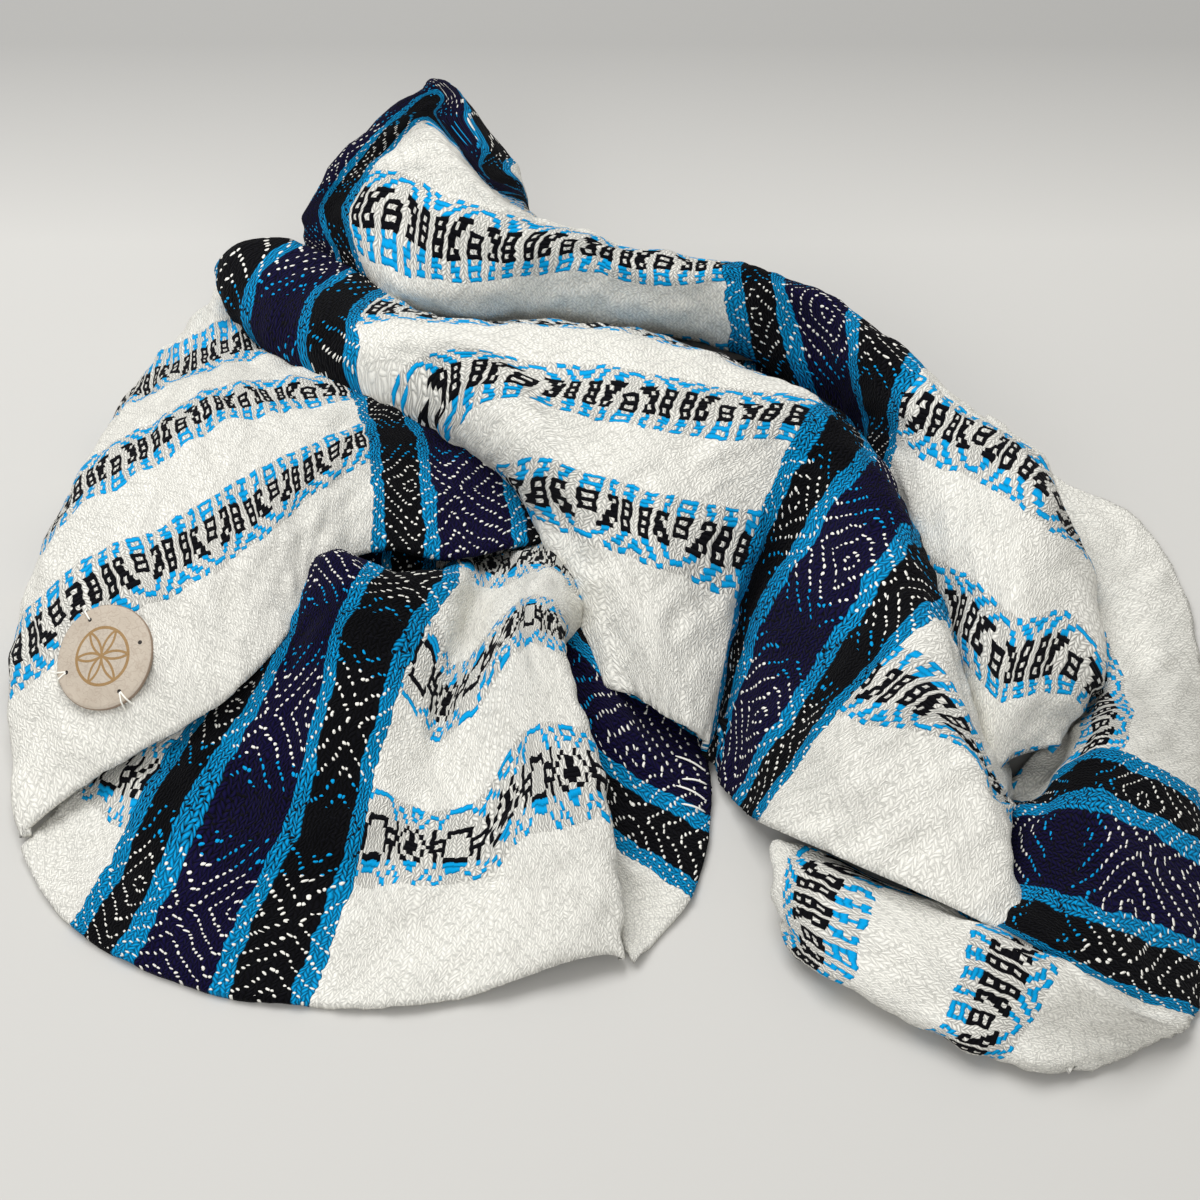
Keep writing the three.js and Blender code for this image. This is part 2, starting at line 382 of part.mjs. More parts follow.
// The largest body of a cut solid.
function mainBody(solid) {
  const bodies = solid.decompose();
  return bodies.reduce((best, body) => (body.volume() > best.volume() ? body : best));
}

// The layers folded away inside the heap: one low mound that keeps under all the cloth,
// with a level terrace at each folded layer along its edge.
function foldedInside(wasm, faces) {
  const points = faces.flatMap(([face, outward]) => face.flatMap((line, i) => (
    line.map((point, j) => point.clone().addScaledVector(outward[i][j], -WALL)))));
  const reach = 150;
  const cells = (2 * reach) / CORE_SPACING;
  const heightAt = (x, y) => {
    const near = points.filter((point) => Math.hypot(point.x - x, point.y - y) < CORE_REACH);
    const room = near.length > 2 ? Math.min(...near.map((point) => point.z)) - CORE_DROP : 0;
    const terraces = Math.floor(room / LAYER);
    const rise = room / LAYER - terraces;
    return LAYER * (terraces + Math.max(0, (rise - 0.5) * 2));
  };
  const grid = [];
  for (let j = 0; j <= cells; j += 1) {
    const line = [];
    for (let i = 0; i <= cells; i += 1) {
      const x = -reach + i * CORE_SPACING;
      const y = -reach + j * CORE_SPACING;
      line.push(new THREE.Vector3(x, y, heightAt(x, y)));
    }
    grid.push(line);
  }
  const columns = [];
  for (let j = 0; j < cells; j += 1) {
    for (let i = 0; i < cells; i += 1) {
      const corners = [grid[j][i], grid[j][i + 1], grid[j + 1][i + 1], grid[j + 1][i]]
        .filter((corner) => corner.z >= CORE_MIN);
      if (corners.length > 2) {
        columns.push(columnUnder(wasm, corners));
      }
    }
  }
  return wasm.Manifold.union(columns);
}

// The leather label: a disc that follows the cloth it is sewn to.
function leatherDisc(wasm, table, side) {
  const step = 0.02;
  const at = (row, knot) => {
    const [, , x, y, z] = onStretch(table, row, knot);
    return new THREE.Vector3(x, y, z);
  };
  const frameAt = (row, knot) => {
    const point = at(row, knot);
    const perRow = at(row + step, knot).sub(point).divideScalar(step);
    const perKnot = at(row, knot + step).sub(point).divideScalar(step);
    const outward = perRow.clone().cross(perKnot).normalize().multiplyScalar(side);
    return { point, perRow, perKnot, outward };
  };
  const centre = frameAt(LABEL_AT[0], LABEL_AT[1]);
  const right = new THREE.Vector3().copy(centre.perRow).normalize();
  const upward = new THREE.Vector3().crossVectors(centre.outward, right).normalize();
  // walks from the centre to the point of the cloth under a point of the flat disc
  const under = (radius, turn) => {
    const goal = centre.point.clone()
      .addScaledVector(right, radius * Math.cos(turn))
      .addScaledVector(upward, radius * Math.sin(turn));
    let [row, knot] = LABEL_AT;
    for (let pass = 0; pass < 8; pass += 1) {
      const here = frameAt(row, knot);
      const miss = goal.clone().sub(here.point);
      row += miss.dot(here.perRow) / here.perRow.lengthSq();
      knot += miss.dot(here.perKnot) / here.perKnot.lengthSq();
    }
    return frameAt(row, knot);
  };
  const rings = [0.01, 0.5, 1];
  const turns = 26;
  const level = (lift) => rings.map((ring) => {
    const line = [];
    for (let k = 0; k < turns; k += 1) {
      const here = under(ring * LABEL_RADIUS, (2 * Math.PI * k) / turns);
      line.push(here.point.clone().addScaledVector(here.outward, lift));
    }
    return line;
  });
  const top = level(LABEL_LIFT + LABEL_THICK);
  const bottom = level(LABEL_LIFT);
  const triangles = [];
  const face = (a, b, c) => triangles.push(a, b, c);
  const size = rings.length * turns;
  for (let k = 0; k < turns; k += 1) {
    const next = (k + 1) % turns;
    for (let r = 0; r < rings.length - 1; r += 1) {
      const a = r * turns + k;
      const b = r * turns + next;
      const c = (r + 1) * turns + next;
      const d = (r + 1) * turns + k;
      face(a, d, c);
      face(a, c, b);
      face(size + a, size + c, size + d);
      face(size + a, size + b, size + c);
    }
    const rim = (rings.length - 1) * turns;
    face(rim + k, size + rim + k, size + rim + next);
    face(rim + k, size + rim + next, rim + next);
    if (k > 0 && k < turns - 1) {
      face(0, k, k + 1);
      face(size, size + k + 1, size + k);
    }
  }
  return solidOf(wasm, [...top.flat(), ...bottom.flat()], triangles);
}

function meshOf(solid, name, look) {
  const { vertProperties, triVerts } = solid.getMesh();
  const geometry = new THREE.BufferGeometry();
  geometry.setAttribute("position", new THREE.BufferAttribute(new Float32Array(vertProperties), 3));
  geometry.setIndex([...triVerts]);
  const mesh = new THREE.Mesh(geometry.toNonIndexed(), new THREE.MeshStandardMaterial(look));
  mesh.geometry.computeVertexNormals();
  mesh.name = name;
  return mesh;
}

const wasm = await Module();
wasm.setup();

// Each stretch is cut back from the ones listed before it, which lie over it.
const stretches = [
  { name: "middle_fold", table: MIDDLE_FOLD, side: 1, acrossSteps: 2, look: CLOTH },
  { name: "back_ridge", table: BACK_RIDGE, side: 1, acrossSteps: 1, look: CLOTH },
  { name: "label_stretch", table: LABEL_STRETCH, side: -1, acrossSteps: 2, look: CLOTH },
  { name: "mouth", table: MOUTH, side: 1, acrossSteps: 2, look: CLOTH },
  { name: "mouth_side", table: MOUTH_SIDE, side: 1, acrossSteps: 2, look: NAVY },
  { name: "right_lobe", table: RIGHT_LOBE, side: -1, acrossSteps: 1, look: CLOTH },
];

const scarf = new THREE.Group();
scarf.name = "cowl_scarf";
const cutters = [];
const faces = [];
for (const stretch of stretches) {
  let solid = wallOf(wasm, stretch, 0);
  for (const cutter of cutters) {
    solid = solid.subtract(cutter);
  }
  scarf.add(meshOf(mainBody(solid), stretch.name, stretch.look));
  cutters.push(wallOf(wasm, stretch, GAP));
  const face = faceOf(stretch.table, CORE_STEPS, CORE_STEPS);
  faces.push([face, outwardOf(face, stretch.side)]);
}
let inside = foldedInside(wasm, faces);
for (const cutter of cutters) {
  inside = inside.subtract(cutter);
}
scarf.add(meshOf(mainBody(inside), "folded_inside", CLOTH));
scarf.add(meshOf(leatherDisc(wasm, LABEL_STRETCH, -1), "leather_label", LEATHER));

export default scarf;
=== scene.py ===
"""A cowl scarf dropped on a table: a wide woven tube lying in a soft heap, with a leather label.

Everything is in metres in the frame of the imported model: +Z up, front towards -Y.
"""
import math

import bpy
import numpy as np
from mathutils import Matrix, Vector


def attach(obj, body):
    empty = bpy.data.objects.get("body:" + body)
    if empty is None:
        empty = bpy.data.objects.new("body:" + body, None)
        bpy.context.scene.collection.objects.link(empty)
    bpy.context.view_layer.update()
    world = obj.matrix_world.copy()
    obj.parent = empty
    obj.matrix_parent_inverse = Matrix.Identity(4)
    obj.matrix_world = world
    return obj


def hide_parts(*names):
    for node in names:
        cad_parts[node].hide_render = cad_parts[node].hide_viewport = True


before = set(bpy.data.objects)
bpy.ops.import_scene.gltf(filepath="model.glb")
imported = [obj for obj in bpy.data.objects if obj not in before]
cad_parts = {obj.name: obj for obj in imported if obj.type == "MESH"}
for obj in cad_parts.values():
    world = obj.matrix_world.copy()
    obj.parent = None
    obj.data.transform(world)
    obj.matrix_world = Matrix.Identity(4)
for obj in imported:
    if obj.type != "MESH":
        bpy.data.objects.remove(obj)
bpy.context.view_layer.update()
MM = 0.001

# ---------------------------------------------------------------------------------------
# Camera: a hand-held view from the front, 50 degrees above the table, 70 mm lens.
VIEW_ELEVATION = math.radians(50.0)
VIEW_DISTANCE = 600 * MM
VIEW_TARGET = Vector((-3 * MM, -23 * MM, 20 * MM))
camera_data = bpy.data.cameras.new("camera")
camera_data.lens = 70
camera_data.sensor_width = 36
camera_data.clip_start = 0.05
camera_data.clip_end = 10
camera = bpy.data.objects.new("camera", camera_data)
camera.location = VIEW_TARGET + VIEW_DISTANCE * Vector(
    (0, -math.cos(VIEW_ELEVATION), math.sin(VIEW_ELEVATION)))
camera.rotation_euler = (math.pi / 2 - VIEW_ELEVATION, 0, 0)
bpy.context.collection.objects.link(camera)
bpy.context.scene.camera = camera
bpy.context.scene.view_settings.view_transform = "Standard"

# ---------------------------------------------------------------------------------------
# Table: a level sheet of pale paper, with painted shade that turns it greyer towards the back, where the
# light falls off.
PAPER_SIDE = 3.0
PAPER_FRONT = (0.57, 0.562, 0.54, 1)
PAPER_BACK_SHADE = (0.372, 0.368, 0.357, 1)
FADE_SPAN = 250 * MM         # behind the origin, where the tone runs from 0 to 1
FADE_SHARES = (0.55, 0.95)   # shares of the span between which the paper turns grey


def grid_mesh(name, points, uv=None):
    """A mesh of quads over a grid of points, row by row, facing up; uv in the same grid."""
    rows, columns = points.shape[:2]
    index = np.arange(rows * columns).reshape(rows, columns)
    faces = np.stack([index[:-1, :-1], index[1:, :-1], index[1:, 1:], index[:-1, 1:]], axis=-1)
    faces = faces.reshape(-1, 4)
    mesh = bpy.data.meshes.new(name)
    mesh.from_pydata(points.reshape(-1, 3).tolist(), [], faces.tolist())
    if uv is not None:
        layer = mesh.uv_layers.new(name="weave")
        layer.data.foreach_set("uv", uv.reshape(-1, 2)[faces.ravel()].astype(np.float32).ravel())
    mesh.polygons.foreach_set("use_smooth", [True] * len(faces))
    mesh.update()
    made = bpy.data.objects.new(name, mesh)
    bpy.context.collection.objects.link(made)
    return made


paper_points = np.zeros((2, 2, 3))
paper_points[1, :, 0] = PAPER_SIDE
paper_points[0, :, 0] = -PAPER_SIDE
paper_points[:, 1, 1] = PAPER_SIDE
paper_points[:, 0, 1] = -PAPER_SIDE
paper = grid_mesh("paper", paper_points)
paper_material = bpy.data.materials.new("paper")
paper_material.use_nodes = True
paper_nodes = paper_material.node_tree.nodes
paper_links = paper_material.node_tree.links
paper_shader = paper_nodes["Principled BSDF"]
paper_place = paper_nodes.new("ShaderNodeTexCoord")
paper_axes = paper_nodes.new("ShaderNodeSeparateXYZ")
paper_back = paper_nodes.new("ShaderNodeMapRange")
paper_back.inputs["From Max"].default_value = FADE_SPAN
# painted shade: the paper's colour runs from the front tone to a greyer back tone, standing in for the
# light falling off behind
paper_shade_ramp = paper_nodes.new("ShaderNodeValToRGB")
for element, colour, share in zip(paper_shade_ramp.color_ramp.elements, (PAPER_FRONT, PAPER_BACK_SHADE), FADE_SHARES):
    element.color = colour
    element.position = share
paper_links.new(paper_place.outputs["Object"], paper_axes.inputs[0])
paper_links.new(paper_axes.outputs[1], paper_back.inputs["Value"])
paper_links.new(paper_back.outputs[0], paper_shade_ramp.inputs[0])
paper_links.new(paper_shade_ramp.outputs[0], paper_shader.inputs["Base Color"])
paper_shader.inputs["Roughness"].default_value = 0.7
paper_shader.inputs["Specular IOR Level"].default_value = 0.15
paper.data.materials.append(paper_material)

# Light: a bright tent all round, one large soft panel above, a little left and behind, and
# a weak one in front.
TENT_COLOUR = (1.0, 0.99, 0.965, 1)
TENT_STRENGTH = 0.455
world = bpy.data.worlds.new("tent")
world.use_nodes = True
world.node_tree.nodes["Background"].inputs["Color"].default_value = TENT_COLOUR
world.node_tree.nodes["Background"].inputs["Strength"].default_value = TENT_STRENGTH
bpy.context.scene.world = world


def soft_panel(name, place, size, power):
    """An area light of the given size in m and power in W, turned to the middle of the scarf."""
    data = bpy.data.lights.new(name, "AREA")
    data.shape = "RECTANGLE"
    data.size = size[0]
    data.size_y = size[1]
    data.energy = power
    light = bpy.data.objects.new(name, data)
    light.location = place
    aim = Vector((0, 0, 0.02)) - Vector(place)
    light.rotation_euler = aim.to_track_quat("-Z", "Y").to_euler()
    bpy.context.collection.objects.link(light)


soft_panel("panel_above", (-0.25, 0.36, 1.05), (1.0, 0.7), 11.2)
soft_panel("panel_front", (-0.3, -1.0, 0.8), (0.8, 0.6), 4.4)

# ---------------------------------------------------------------------------------------
# Label stretch: the tube's outer face on the left, from its front rim over a high fold to
# the table behind. Handwoven cotton: white warp with bands of blue, black and navy warp,
# white weft, and rows where every pattern pick is black with blue at the row's edges.
END = 1.1             # mm from one warp thread to the next
PICK = 1.7            # mm from one ground pick to the next
LINE = 1.5            # mm of one line of a row's chart
STROKE = 1.45         # mm, one visible turn of the plied warp yarn
LEAN = 1.1            # turns that a ply leans from one side of its thread to the other
SWING = 0.22          # how far a warp thread swings with each turn, in threads
REPEAT = 24           # warp threads in one repeat of the draft
CLIMB = 0.95          # picks the twill climbs from thread to thread
BEND = 1.3            # picks its wave swings to either side of that
FLOAT_EVERY = 3.0     # picks from float to float of one warp thread
STRAY = 4.5           # mm that threads wander together over a few cm
JITTER = (1.3, 1.0)   # mm that a thread wanders alone, along and across
RELIEF = 0.45         # mm from the bottom of the weave to its top
BAND = 62.0           # mm across one band of coloured warp
PERIOD = 172.0        # mm from band to band
LONE_BAND = 1000.0    # mm, a period longer than any stretch, where it has one band only
ROW_PITCH = 44.0      # mm from row to row, counted from either rim
WIDTH = 264.0         # mm from rim to rim
STRIPES = [           # coloured warp within a band: from mm, colour
    (0.0, "blue"), (5.0, "black"), (16.5, "blue"), (21.5, "navy"),
    (40.5, "blue"), (45.5, "black"), (57.0, "blue"),
]
YARN = {
    "white": (0.95, 0.935, 0.865, 1),
    "blue": (0.001, 0.36, 0.77, 1),
    "black": (0.003, 0.003, 0.005, 1),
    "navy": (0.006, 0.004, 0.042, 1),
}
# A row's pattern from the middle of an eye to half way to the next, where it turns back:
# one line of the chart per LINE, X where coloured weft lies on top. The first and last
# four lines are blue, the rest black. Every other row is woven upside down. The inner face
# is what a row shows in the mouth of the tube.
OUTER_FACE = [
    "....XX..XX..",
    "XX....XX..XX",
    "..XX...XX..X",
    "...XX...XX..",
    "..XXXX..XXX.",
    "...XX.X.X.X.",
    "XX..XXX.XXX.",
    ".X...XX.X.X.",
    "XX...XX.XXX.",
    ".X..X.X.X.X.",
    "XX..XXX.XXX.",
    ".X...X...XX.",
    "XX..XX..XXX.",
    ".X..X....X..",
    "XX..XX..XXX.",
]
INNER_FACE = [
    "....XX...X..",
    "...X..X.X...",
    "XX.....X...X",
    "XXX..X....XX",
    "XXX..X...XX.",
    "...X.X..X..X",
    "...XXXX.X.XX",
    "...X..XX..XX",
    "...XXXX.X..X",
    "..X...X..X.X",
    "XXX...X...X.",
    ".....X...X..",
    "....XX..X..X",
    "...X..XX..X.",
    "XXX.......XX",
]
BLUE_LINES = 4


class Graph:
    """Short ways to add the nodes of one material and join them."""

    def __init__(self, name):
        self.material = bpy.data.materials.new(name)
        self.material.use_nodes = True
        self.tree = self.material.node_tree
        self.shader = self.tree.nodes["Principled BSDF"]

    def feed(self, sockets, values):
        """Each value set on its socket, or linked to it where it is an output."""
        for socket, value in zip(sockets, values):
            if isinstance(value, bpy.types.NodeSocket):
                self.tree.links.new(value, socket)
            else:
                socket.default_value = value

    def math(self, operation, *inputs):
        """A math node of numbers or sockets."""
        node = self.tree.nodes.new("ShaderNodeMath")
        node.operation = operation
        self.feed(node.inputs, inputs)
        return node.outputs[0]

    def plus(self, first, second):
        return self.math("ADD", first, second)

    def minus(self, first, second):
        return self.math("SUBTRACT", first, second)

    def times(self, first, second):
        return self.math("MULTIPLY", first, second)

    def times_plus(self, first, second, more):
        return self.math("MULTIPLY_ADD", first, second, more)

    def squared(self, number):
        return self.math("POWER", number, 2.0)

    def mix(self, factor, first, second):
        """The first colour where factor is 0 and the second where it is 1."""
        node = self.tree.nodes.new("ShaderNodeMix")
        node.data_type = "RGBA"
        self.feed((node.inputs[0], node.inputs[6], node.inputs[7]), (factor, first, second))
        return node.outputs[2]

    def steps(self, factor, stops):
        """A ramp with no blending: each (from, colour) holds up to the next."""
        node = self.tree.nodes.new("ShaderNodeValToRGB")
        node.color_ramp.interpolation = "CONSTANT"
        elements = node.color_ramp.elements
        elements.remove(elements[1])
        elements[0].position = stops[0][0]
        elements[0].color = stops[0][1]
        for position, colour in stops[1:]:
            elements.new(position).color = colour
        self.feed(node.inputs, [factor])
        return node.outputs[0]

    def noise(self, vector, scale, detail=2.0):
        """Smooth noise from 0 to 1; returns its value and its colour."""
        node = self.tree.nodes.new("ShaderNodeTexNoise")
        node.inputs["Scale"].default_value = scale
        node.inputs["Detail"].default_value = detail
        self.tree.links.new(vector, node.inputs["Vector"])
        return node.outputs[0], node.outputs[1]

    def chance(self, number):
        """A number from 0 to 1 that is fixed for each whole number."""
        node = self.tree.nodes.new("ShaderNodeTexWhiteNoise")
        node.noise_dimensions = "1D"
        self.tree.links.new(number, node.inputs["W"])
        return node.outputs[0]

    def split(self, vector):
        """The three parts of a vector or a colour."""
        node = self.tree.nodes.new("ShaderNodeSeparateXYZ")
        self.feed(node.inputs, [vector])
        return node.outputs

    def woven_place(self):
        """The flat place in mm that the mesh's map "weave" holds."""
        node = self.tree.nodes.new("ShaderNodeUVMap")
        node.uv_map = "weave"
        return node.outputs[0]

    def bump(self, height, strength, distance):
        """The shader's normal, tilted by a height map."""
        node = self.tree.nodes.new("ShaderNodeBump")
        node.inputs["Strength"].default_value = strength
        node.inputs["Distance"].default_value = distance
        self.tree.links.new(height, node.inputs["Height"])
        self.tree.links.new(node.outputs[0], self.shader.inputs["Normal"])


def line_bits(text):
    """A pattern line as a number, its first character the lowest bit."""
    return sum(2 ** place for place, mark in enumerate(text) if mark == "X")


def weave_material(name, band_start, period, chart):
    """The cloth, from its flat place in mm: coloured warp, weft on top by draft, relief."""
    g = Graph(name)
    flat = g.woven_place()
    u_flat, v_flat, _ = g.split(flat)
    # uneven weaving: threads wander together over a few cm, and alone over a mm
    _, slow = g.noise(flat, 0.09, 1.0)
    _, quick = g.noise(flat, 0.35, 1.0)
    drift = g.split(slow)
    shake = g.split(quick)

    def wander(at, axis):
        wide = g.times_plus(g.minus(drift[axis], 0.5), STRAY, at)
        return g.times_plus(g.minus(shake[axis], 0.5), JITTER[axis], wide)

    u = wander(u_flat, 0)
    v = wander(v_flat, 1)
    swing = g.math("PINGPONG", v, STROKE)
    end_at = g.times_plus(g.math("DIVIDE", swing, STROKE), SWING, g.math("DIVIDE", u, END))
    end = g.math("FLOOR", end_at)
    in_end = g.minus(g.minus(end_at, end), 0.5)
    own = g.chance(end)
    uneven_v = g.times_plus(own, 0.5, v)

    # coloured warp in bands
    end_middle = g.times(g.plus(end, 0.5), END)
    in_period = g.math("FLOORED_MODULO", g.minus(end_middle, band_start), period)
    in_band = g.math("LESS_THAN", in_period, BAND)
    stripe = g.steps(g.math("DIVIDE", in_period, BAND),
                     [(start / BAND, YARN[colour]) for start, colour in STRIPES])
    warp = g.mix(in_band, YARN["white"], stripe)

    # rows of coloured weft, counted from the rim
    row = g.math("ROUND", g.math("DIVIDE", v, ROW_PITCH))
    from_row = g.minus(uneven_v, g.times(row, ROW_PITCH))
    turned = g.times_plus(g.math("FLOORED_MODULO", row, 2.0), 2.0, -1.0)
    line_at = g.times_plus(g.times(from_row, turned), 1.0 / LINE, len(chart) / 2)
    line = g.math("FLOOR", line_at)
    in_line = g.minus(g.minus(line_at, line), 0.5)
    near_row = g.math("COMPARE", line, (len(chart) - 1) / 2, len(chart) / 2)
    off_rim = g.math("COMPARE", v, WIDTH / 2, WIDTH / 2 - ROW_PITCH / 2)
    in_row = g.times(near_row, off_rim)
    is_black = g.math("COMPARE", line, (len(chart) - 1) / 2, len(chart) / 2 - BLUE_LINES)
    row_weft = g.mix(is_black, YARN["blue"], YARN["black"])
    weft = g.mix(in_row, YARN["white"], row_weft)

    # the row's pattern: each chart line is one number, its bits the threads from the eye out
    across = g.math("FLOORED_MODULO", end, REPEAT)
    from_eye = g.minus(g.math("ABSOLUTE", g.minus(across, (REPEAT - 1) / 2)), 0.5)
    scale = 2.0 ** (REPEAT // 2)
    stops = []
    for number, text in enumerate(chart):
        level = line_bits(text) / scale
        stops.append((number / len(chart), (level, level, level, 1)))
    line_share = g.math("DIVIDE", g.plus(line, 0.5), len(chart))
    code = g.math("ROUND", g.times(g.steps(line_share, stops), scale))
    shifted = g.math("DIVIDE", g.plus(code, 0.25), g.math("POWER", 2.0, from_eye))
    chart_bit = g.math("MODULO", g.math("FLOOR", shifted), 2.0)

    # elsewhere a waved twill that turns back half way from row to row, so its floats make
    # nested lozenges: each thread goes under a pick where its wave passes
    pick_at = g.math("DIVIDE", g.math("PINGPONG", v, ROW_PITCH / 2), PICK)

    def wave(step):
        at = g.plus(end, step + 0.5)
        climb = g.math("PINGPONG", at, REPEAT / 2)
        bend = g.math("COSINE", g.times(at, 2 * math.pi / REPEAT))
        return g.times_plus(climb, CLIMB, g.times(bend, BEND))

    here = wave(0)
    in_float = g.minus(g.math("FLOORED_MODULO", g.plus(pick_at, here), FLOAT_EVERY), 0.5)
    steep = g.math("ABSOLUTE", g.minus(wave(1), here))
    narrow = g.math("MINIMUM", g.times_plus(steep, 3.0, 1.6), 2.6)
    slant = g.times_plus(own, 0.5, g.times_plus(in_end, 0.16, in_float))
    oval = g.plus(g.squared(g.times(in_end, narrow)), g.squared(g.times(slant, 4.6)))
    dot = g.math("LESS_THAN", oval, 1.0)

    use_chart = g.times(in_row, g.minus(1.0, in_band))
    no_chart = g.minus(1.0, use_chart)
    weft_up = g.times_plus(no_chart, dot, g.times(use_chart, chart_bit))

    # relief: plied warp in short strokes that lean by turns, rounded weft floats
    hand = g.times_plus(g.math("FLOORED_MODULO", end, 2.0), 2.0, -1.0)
    ply_at = g.times_plus(g.times(in_end, hand), LEAN, own)
    ply_at = g.times_plus(uneven_v, 1.0 / STROKE, ply_at)
    in_ply = g.minus(g.math("FRACT", ply_at), 0.5)
    side_fall = g.squared(g.times(in_end, 1.7))
    ply_fall = g.squared(g.times(in_ply, 1.85))
    warp_height = g.minus(g.minus(1.0, side_fall), ply_fall)
    warp_height = g.math("MAXIMUM", warp_height, 0.0)
    row_height = g.minus(1.1, g.squared(g.times(in_line, 1.9)))
    coloured = g.math("MAXIMUM", in_band, in_row)
    dot_height = g.times(g.minus(1.4, g.times(oval, 0.7)), g.times_plus(coloured, 1.2, -0.2))
    weft_height = g.times_plus(no_chart, dot_height, g.times(use_chart, row_height))
    down = g.minus(1.0, weft_up)
    height = g.times_plus(weft_up, weft_height, g.times(down, warp_height))
    fibre, _ = g.noise(flat, 3.4, 2.0)
    raised = g.times(height, g.times_plus(coloured, 0.5, 0.55))
    raised = g.times_plus(g.minus(fibre, 0.5), 0.6, raised)

    # colour: weft or warp on top, with painted shade darkening it down between the threads, and the slub
    # and fibre noise varying its tone
    top = g.mix(weft_up, warp, weft)
    depth = g.math("MINIMUM", height, 1.0)
    # painted shade: how much the colour darkens where the relief is low, most between coloured warp
    # threads
    gap_shade_strength = g.times_plus(g.times(in_band, down), 0.5, g.times_plus(in_row, 0.2, 0.28))
    gap_shade_and_slub = g.minus(1.0, g.times(gap_shade_strength, g.minus(1.0, depth)))
    gap_shade_and_slub = g.times(gap_shade_and_slub, g.times_plus(drift[2], 0.2, 0.9))
    gap_shade_and_slub = g.times(gap_shade_and_slub, g.times_plus(fibre, 0.3, 0.85))
    shaded = g.tree.nodes.new("ShaderNodeVectorMath")
    shaded.operation = "SCALE"
    g.tree.links.new(top, shaded.inputs[0])
    g.tree.links.new(gap_shade_and_slub, shaded.inputs["Scale"])
    g.tree.links.new(shaded.outputs[0], g.shader.inputs["Base Color"])
    g.bump(raised, 0.9, RELIEF * MM)
    g.shader.inputs["Roughness"].default_value = 0.9
    g.shader.inputs["Specular IOR Level"].default_value = 0.08
    g.shader.inputs["Sheen Weight"].default_value = 0.02
    g.shader.inputs["Sheen Roughness"].default_value = 0.5
    return g.material


def knot_slopes(knots):
    """The slope at every knot of runs along the first axis, steadier where knots are close."""
    step = np.diff(knots, axis=0)
    span = np.linalg.norm(step[..., 2:], axis=-1, keepdims=True) + 1e-6
    slopes = np.zeros_like(knots)
    slopes[1:-1] = (span[1:] * step[:-1] + span[:-1] * step[1:]) / (span[1:] + span[:-1])
    slopes[0] = 1.5 * step[0] - 0.5 * slopes[1]
    slopes[-1] = 1.5 * step[-1] - 0.5 * slopes[-2]
    return slopes


def run_through(knots, at):
    """Points of the smooth runs along the first axis at the knot counts `at`."""
    slopes = knot_slopes(knots)
    low = np.clip(np.floor(at).astype(int), 0, len(knots) - 2)
    t = (at - low).reshape(-1, *[1] * (knots.ndim - 1))
    start = 2 * t ** 3 - 3 * t ** 2 + 1
    leave = t ** 3 - 2 * t ** 2 + t
    arrive = t ** 3 - t ** 2
    return (start * knots[low] + leave * slopes[low]
            + (1 - start) * knots[low + 1] + arrive * slopes[low + 1])


def on_stretch(table, rows, columns):
    """[along, across, x, y, z] in mm at every pair of row count and knot count."""
    lines = run_through(np.array(table, dtype=float), rows)
    points = run_through(np.swapaxes(lines, 0, 1), columns)
    return np.swapaxes(points, 0, 1)


def outward(points, side):
    """Unit directions out of the face of a grid of points."""
    along = np.gradient(points, axis=0)
    across = np.gradient(points, axis=1)
    out = side * np.cross(along, across)
    return out / (np.linalg.norm(out, axis=-1, keepdims=True) + 1e-9)


def soft_noise(place, scale, seed):
    """Smooth noise from -1 to 1 of flat places in mm: hills about `scale` apart."""
    chance = np.random.default_rng(seed)
    total = np.zeros(place.shape[:-1])
    for _ in range(14):
        turn = chance.uniform(0, 2 * math.pi)
        pitch = 2 * math.pi / (scale * chance.uniform(0.8, 1.7))
        total += np.sin(pitch * (math.cos(turn) * place[..., 0] + math.sin(turn) * place[..., 1])
                        + chance.uniform(0, 2 * math.pi))
    return total / 4.0


FINE = 1.5            # mm, mesh of the cloth
THICK = 1.7           # mm, one layer of cloth
SCALLOP = 4.4         # mm from stitch to stitch along a rim
RUMPLE = 0.55         # mm, small unevenness over the whole cloth


def finely(sizes):
    """Knot counts from 0 to the last knot, each gap of a size in mm cut into FINE steps."""
    parts = [max(2, round(size / FINE)) for size in sizes]
    return np.concatenate([i + np.arange(part) / part for i, part in enumerate(parts)]
                          + [[len(parts)]])


